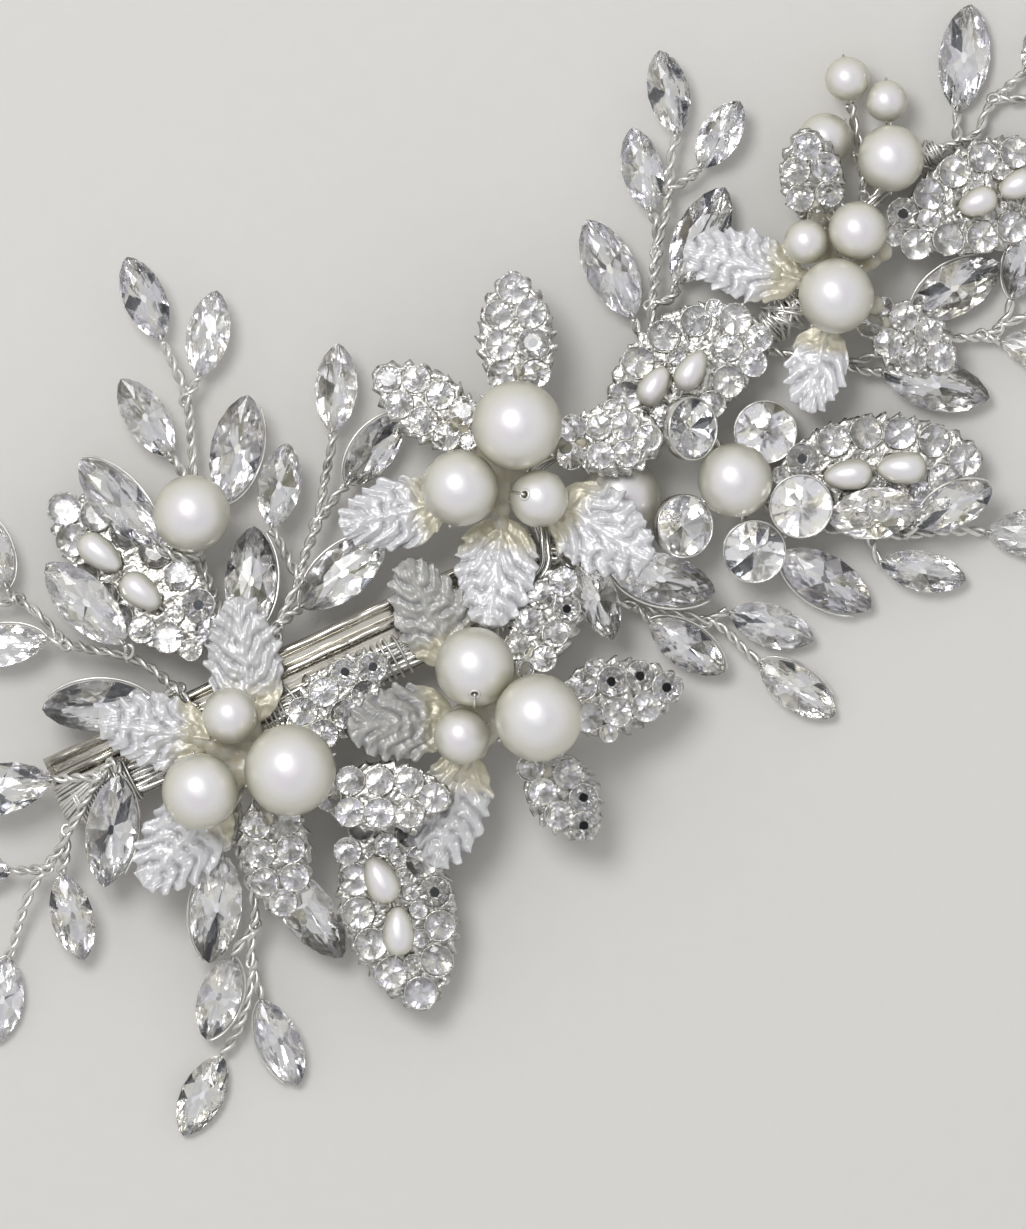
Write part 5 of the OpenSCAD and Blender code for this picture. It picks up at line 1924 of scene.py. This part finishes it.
@dataclass
class GluedHubs:
    """Pads of twisted wire and clear glue that hold a cluster's leaves and pearls.

    Attributes:
        names: the clusters with a pad.
        drops: drops of glue that show beside a pearl: the cluster, then the place in the part's frame.
        voxel: grain of the glue's surface before it is smoothed.
        leaf_share: how far up a leaf the glue runs, as a share of the leaf's length.
        pad_r: radius of the pad.
        pad_flat: height of the pad as a share of its width.
        lump_r: radius of the glue where it leaves the pad.
        taper: by how much it is thinner at its end.
        drop_r: radius of a drop.
        stem_r: radius of the short stems under the pad.
    """

    names: Sequence[str] = ("a", "b", "c", "e")
    drops: Sequence[tuple[str, float, float, float]] = (("e", 61.3, 45.4, 7.0), ("e", 60.4, 39.7, 7.2))
    voxel: float = 0.28
    leaf_share: float = 0.2
    pad_r: float = 3.1
    pad_flat: float = 0.36
    lump_r: float = 1.45
    taper: float = 0.45
    drop_r: float = 1.1
    stem_r: float = 0.42

    def build(self) -> None:
        """Builds each pad over its CAD node."""
        rng = np.random.default_rng(9)
        for name in self.names:
            low, high = [np.array(v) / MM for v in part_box(f"hub_{name}")]
            pad = self.pad_middle(name)
            leaves = [base_first(s) for kind in ("cast", "pave") for s in solids_of(f"{kind}_leaves_{name}")]
            shape = Shape([GLUE])
            add_ball(shape, pad - UP * 0.5, self.pad_r, rows=10, sides=20)
            points = shape.points[-1]
            points[:, 2] = pad[2] - 0.4 + (points[:, 2] - (pad[2] - 0.5)) * self.pad_flat
            core = pad - UP * 0.2
            for leaf in leaves:
                foot = leaf.end(-1)
                if abs(foot[2] - pad[2]) > 2.5 or np.linalg.norm(foot - pad) > 7:
                    continue
                reach = leaf.place((leaf.low[0] + self.leaf_share * 2 * leaf.high[0], 0, leaf.low[2] + 0.55))
                radii = [(self.lump_r - self.taper * share) * rng.uniform(0.85, 1.15)
                         for share in np.linspace(0, 1, 6)]
                self.add_lumps(shape, core, reach, radii)
            for stem in self.stems(name):
                add_tube(shape, stem, self.stem_r, 8)
            for cluster, *spot in self.drops:
                if cluster == name:
                    self.add_lumps(shape, core, np.array(spot), [self.drop_r] * 5)
            self.melt(shape, f"glued_hub_{name}", f"hub_{name}")
            LOG.info("glued_hub_%s between heights %.1f and %.1f", name, low[2], high[2])

    @staticmethod
    def add_lumps(shape: Shape, start: Points, end: Points, radii: Sequence[float]) -> None:
        """Adds a row of lumps of the given radii that run into one another from start to end."""
        for share, radius in zip(np.linspace(0, 1, len(radii)), radii):
            add_ball(shape, (1 - share) * start + share * end, radius, rows=8, sides=14)

    @staticmethod
    def pad_middle(name: str) -> Points:
        """Finds the middle of a pad's top from the widest level ring of its CAD node.

        Args:
            name: the cluster.

        Returns:
            The middle.
        """
        points = solids_of(f"hub_{name}")[0].points
        levels, counts = np.unique(np.round(points[:, 2], 2), return_counts=True)
        level = max(z for z, n in zip(levels, counts) if n >= 8)
        ring = points[np.abs(points[:, 2] - level) < 0.02]
        return np.array([*((ring.min(0) + ring.max(0)) / 2)[:2], level])

    @staticmethod
    def stems(name: str) -> list[Points]:
        """Short stems under the pad, so that the cluster stands on the wires below it."""
        pad = GluedHubs.pad_middle(name)
        return [smooth_path([pad - UP * 0.3, pad + np.array([0.5 * math.cos(a), 0.5 * math.sin(a), -0.9])])
                for a in (0.4, 2.5, 4.6)]

    def melt(self, shape: Shape, name: str, node: str) -> None:
        """Fuses the lumps into one soft body, as glue runs together.

        Args:
            shape: the lumps.
            name: name of the piece.
            node: CAD node that it replaces.
        """
        made = shape.piece(name, "hub_glue_wire", [node])
        fuse = made.modifiers.new("fuse", "REMESH")
        fuse.mode = "VOXEL"
        fuse.voxel_size = self.voxel * MM
        soften = made.modifiers.new("soften", "SMOOTH")
        soften.factor = 0.6
        soften.iterations = 6
        graph = bpy.context.evaluated_depsgraph_get()
        fused = bpy.data.meshes.new_from_object(made.evaluated_get(graph))
        made.modifiers.clear()
        made.data = fused
        fused.polygons.foreach_set("use_smooth", [True] * len(fused.polygons))


@dataclass
class Studio:
    """Pale paper floor, large soft lights and the camera straight above.

    Attributes:
        centre: middle of the photograph's frame, in mm.
        tall: height of the frame at the surface, in mm.
        distance: height of the camera, in mm.
        floor_half: half the side of the paper floor, in mm.
        lights: place of each light in mm, its width in mm and its strength in watts.
        backdrop: height on the surroundings, from 0 to 1, and grey there.
        backdrop_strength: how bright the surroundings are.
    """

    centre: Pair = (21.6, 6.5)
    tall: float = 132.2
    distance: float = 2000.0
    floor_half: float = 1600.0
    lights: Sequence[tuple[Triple, float, float]] = (
        ((-260, 330, 900), 410, 3.8), ((-60, 60, 1050), 900, 1.3))
    backdrop: Sequence[Pair] = (
        (0.0, 0.75), (0.2, 1.0), (0.33, 0.7), (0.45, 1.15), (0.6, 0.8), (0.72, 0.85), (0.86, 0.4), (1.0, 0.3))
    backdrop_strength: float = 0.68

    def build(self) -> None:
        """Builds the floor, lights, surroundings and camera."""
        floor = bpy.data.meshes.new("paper_floor")
        size = self.floor_half * MM
        floor.from_pydata([(-size, -size, 0), (size, -size, 0), (size, size, 0), (-size, size, 0)], [],
                          [(0, 1, 2, 3)])
        floor.materials.append(PAPER.material())
        sheet = put(floor.name, floor)
        target = Vector((self.centre[0] * MM, self.centre[1] * MM, 0))
        for number, (place, width, watts) in enumerate(self.lights):
            lamp = bpy.data.lights.new(f"soft_light_{number}", "AREA")
            lamp.shape = "DISK"
            lamp.size = width * MM
            lamp.energy = watts
            holder = put(lamp.name, lamp)
            holder.location = target + Vector(place) * MM
            holder.rotation_euler = (holder.location - target).to_track_quat("Z", "Y").to_euler()
        self.surround()
        camera = bpy.data.cameras.new("camera")
        camera.sensor_fit = "VERTICAL"
        camera.sensor_height = 24
        camera.lens = 24 * self.distance / self.tall
        camera.clip_end = 10
        seen = put("camera", camera)
        seen.location = (target.x, target.y, self.distance * MM)
        scene = bpy.context.scene
        scene.camera = seen
        scene.view_settings.view_transform = "Standard"
        # Light is thrown up to a dozen times between a crystal's foil and its facets before it leaves
        scene.cycles.glossy_bounces = 12
        scene.cycles.max_bounces = 20

    def surround(self) -> None:
        """Soft grey surroundings, lighter above, with darker bands that give the facets contrast."""
        world = bpy.data.worlds.new("studio")
        world.use_nodes = True
        tree = world.node_tree
        shader = next(n for n in tree.nodes if n.type == "BACKGROUND")
        place = add_node(tree, "ShaderNodeTexCoord")
        height = add_node(tree, "ShaderNodeSeparateXYZ", links={"Vector": (place, "Generated")})
        steps = add_node(tree, "ShaderNodeValToRGB", links={"Fac": (height, "Z")})
        ramp = steps.color_ramp
        while len(ramp.elements) < len(self.backdrop):
            ramp.elements.new(0.5)
        for element, (at, grey) in zip(ramp.elements, self.backdrop):
            element.position = at
            element.color = (grey, grey, grey * 1.01, 1)
        tree.links.new(steps.outputs["Color"], shader.inputs["Color"])
        shader.inputs["Strength"].default_value = self.backdrop_strength
        bpy.context.scene.world = world


# Twisted wires of each twig, from the clip outwards
TWIG_ROUTES: dict[str, Sequence[Route]] = {
    "left_top": [
        Route([(-8.6, -4.3, 7.9), (-9.5, 0.3, 7.2), (-10.9, 5.2, 5.4), (-12.5, 9.5, 4),
         (-13.3, 14.3, 3.3), (-13.4, 19.7, 3), (-13.7, 24.5, 3), (-14, 26.9, 3.1), (-15.3, 30.1, 3.2)]),
        Route([(-14, 26.9, 3.1), (-13.2, 28.2, 3.2)]),
        Route([(-13.3, 16.5, 3.2), (-14.6, 19, 3.3)]),
        Route([(-13.3, 14.3, 3.3), (-12, 13.7, 3.2), (-10.6, 14.3, 3.1)]),
        Route([(-12.5, 9.5, 4), (-12.7, 9.8, 5.6), (-13.2, 9.6, 7.4), (-15.3, 9.9, 8.5)]),
        Route([(-10.2, 2.7, 6.2), (-12.6, 3.4, 5.7), (-15.6, 4.4, 5.4)], to_stone=False),
    ],
    "left_mid": [
        Route([(-4.4, -2.6, 8.1), (-4.7, 0.9, 7.6), (-3.5, 3.9, 6.8), (-1.9, 7.3, 6),
         (-1.3, 10, 5.4), (0, 13.5, 4.6), (0.8, 18.1, 4), (1.5, 21.5, 3.7)]),
        Route([(0, 13.5, 4.6), (0.9, 14.6, 4.3), (2.2, 16.6, 3.9)]),
        Route([(-1.9, 7.3, 6), (-3.3, 10, 5.5), (-4.2, 11.8, 5.3)]),
        Route([(-4.1, 2.4, 7.1), (-2.8, 3.6, 6.7)]),
        Route([(-4.7, 0.9, 7.6), (-6.4, -0.1, 7.2), (-7.4, 0.3, 6.9)]),
    ],
    "left_out": [
        Route([(-13, -6.5, 7.5), (-15.1, -4.5, 7.3), (-17.5, -2.4, 6.8), (-20.4, -0.9, 6.4),
         (-24, -0.2, 5.8), (-27.2, 0.6, 5)]),
        Route([(-20.4, -0.9, 6.4), (-20.1, -0.7, 7.6), (-20.1, -0.1, 8.4)]),
        Route([(-27.2, 0.6, 5), (-28.8, 2.5, 4.4), (-30.4, 4, 4), (-32.4, 5.2, 3.8)]),
        Route([(-32.4, 5.2, 3.8), (-34.3, 4.8, 3.3)]),
        Route([(-15.1, -4.5, 7.3), (-16.5, -5.2, 7.4)]),
    ],
    "left_low": [
        Route([(-23.2, -13.7, 7.9), (-24.5, -15.8, 7.7), (-25.6, -18, 7.3), (-26.9, -19.8, 6.2),
         (-27.7, -21.7, 5.4), (-29.3, -23.7, 4.6), (-30.7, -26, 3.8), (-31.8, -28.7, 2.9),
         (-32.6, -31.6, 2)]),
        Route([(-29.3, -23.7, 4.6), (-32, -23.9, 3.7)]),
        Route([(-26.9, -19.8, 6.2), (-27.1, -22.6, 5)]),
        Route([(-23.2, -13.7, 7.9), (-26.1, -13.9, 7.6)]),
        Route([(-23.2, -13.7, 7.9), (-22.2, -12.2, 8.4), (-21.4, -12.5, 8.7)]),
    ],
    "low": [
        Route([(-8.1, -14.7, 8.2), (-8.6, -17.4, 7.9), (-8.8, -20.4, 7.2), (-7.5, -24.4, 5.8),
         (-6.7, -28.2, 4.8), (-7.1, -31.4, 4), (-7.1, -34.1, 3.3), (-6.5, -36.2, 2.8)]),
        Route([(-7.1, -34.1, 3.3), (-7.5, -37.8, 2.6), (-8.6, -41.1, 2)]),
        Route([(-6.9, -30, 4.4), (-8.4, -31.9, 4.2)]),
        Route([(-8.8, -20.4, 7.2), (-9.6, -21.2, 6.7)]),
        Route([(-8.6, -17.4, 7.9), (-6.2, -20.6, 6.9)]),
    ],
    "top": [
        Route([(39.2, 29.2, 3.2), (37, 32, 3.1), (35.9, 35.5, 3.2), (36.2, 39.6, 3.1),
         (36.4, 42.8, 3), (37.4, 46.5, 2.9), (37.8, 50.3, 2.8), (38.1, 53.5, 2.8)]),
        Route([(37.7, 49.2, 2.8), (39.6, 50.3, 2.8)]),
        Route([(36.4, 42.8, 3), (36.4, 45.2, 3.1)]),
        Route([(36, 36.9, 3.2), (38.1, 37.6, 3)]),
        Route([(36.5, 33.5, 3.15), (34.6, 33.7, 3.3)]),
    ],
    "right": [
        Route([(48.4, 32, 3.3), (51.8, 31.2, 3), (56.6, 30.6, 2.8), (61, 31.8, 2.6),
         (65.3, 32.9, 2.3), (69, 33.3, 2.1), (71.7, 33.5, 1.9), (73.3, 34.4, 1.8), (75.3, 35.3, 1.7)]),
        Route([(73.3, 34.4, 1.8), (74.2, 35.9, 1.8)]),
        Route([(71.7, 33.5, 1.9), (72.6, 33.1, 1.85)]),
        Route([(62.8, 32.3, 2.5), (63.4, 34.3, 2.8)]),
        Route([(56.6, 30.6, 2.8), (58.3, 29.8, 2.8)]),
        Route([(67, 53.6, 2.1), (68.8, 54.3, 1.9), (70.9, 55.3, 1.8), (71.8, 57.6, 1.7),
         (73.3, 59.3, 1.6), (74.6, 60.6, 1.5)]),
        Route([(68.8, 54.3, 1.9), (68.7, 56.2, 1.8)]),
        Route([(73, 59, 1.6), (75.5, 59, 1.5)]),
        Route([(58.7, 48.8, 2.7), (58.3, 53.5, 2.6), (57.7, 56.2, 2.9), (57.2, 58.4, 3.5)], to_stone=False),
        Route([(58.4, 51.9, 2.6), (57.5, 53.1, 3.3)], to_stone=False),
        Route([(60.8, 51.6, 2.4), (61.1, 53.8, 2.4), (61.2, 55.9, 3.4)], to_stone=False),
    ],
    "right_low": [
        Route([(52.5, 14.6, 2.9), (55.6, 13.5, 2.8), (59.3, 12.4, 2.6), (63.1, 12.1, 2.3),
         (67.4, 12.6, 2), (70.1, 12.6, 1.8)]),
        Route([(59.3, 12.4, 2.6), (59.7, 10.8, 2.6)]),
        Route([(52.5, 14.6, 2.9), (50.2, 12.6, 2.8), (49.1, 11, 2.8)]),
        Route([(63.1, 12.1, 2.3), (63.4, 12.5, 4.2)]),
        Route([(52.5, 14.6, 2.9), (53, 12.6, 3.6), (53.6, 12.7, 5)]),
        Route([(25.6, 9.9, 6.2), (27, 8.4, 5.6), (29.6, 6.2, 5.1), (32, 5, 3.9), (34, 4.6, 3.2),
         (36.8, 3.9, 3.3), (41.1, 3.2, 3), (43.4, 2.2, 2.8), (45.9, -0.2, 2.5)]),
        Route([(42, 2.9, 2.9), (43.2, 3.6, 2.7)]),
        Route([(34, 4.6, 3.2), (35, 3.8, 3.6)]),
        Route([(25.6, 9.9, 6.2), (26.6, 10.6, 6.6), (28.8, 10.1, 6.8)]),
        Route([(26.6, 10.6, 6.6), (27.3, 11, 7.2)]),
    ],
}
# Wires of the small cluster of cups
CUP_ROUTES: Sequence[Route] = (
    Route([(42.1, 26.7, 3.9), (42.7, 22.4, 3.1), (44.1, 18.6, 2.9), (47.5, 16.4, 2.8),
     (51.9, 15, 2.8)], to_stone=False),
    Route([(42.7, 22.4, 3.1), (41.2, 23.2, 3.6)]),
    Route([(44.1, 18.6, 2.9), (46.6, 21.6, 1.6)]),
    Route([(44.1, 18.6, 2.9), (40.6, 14.6, 3.6)]),
    Route([(44.1, 18.6, 2.9), (46.4, 12.2, 3.5)]),
    Route([(47.5, 16.4, 2.8), (48.9, 14.4, 3.2), (49.6, 13.2, 4.2), (50.6, 13.5, 5.2)]),
)


def main() -> None:
    """Builds the studio, then the clip and its spray in order, logging each piece as it is made."""
    logging.basicConfig(level=logging.INFO, format="%(name)s: %(message)s")
    clip = BarretteClip()
    for part in (Studio(), clip, WireStem(clip), CrystalTwigs(TWIG_ROUTES), StoneCups(CUP_ROUTES),
                 CastLeaves(), StoneLeaves(), GluedHubs(), PearlBeads()):
        part.build()


if __name__ == "__main__":
    main()
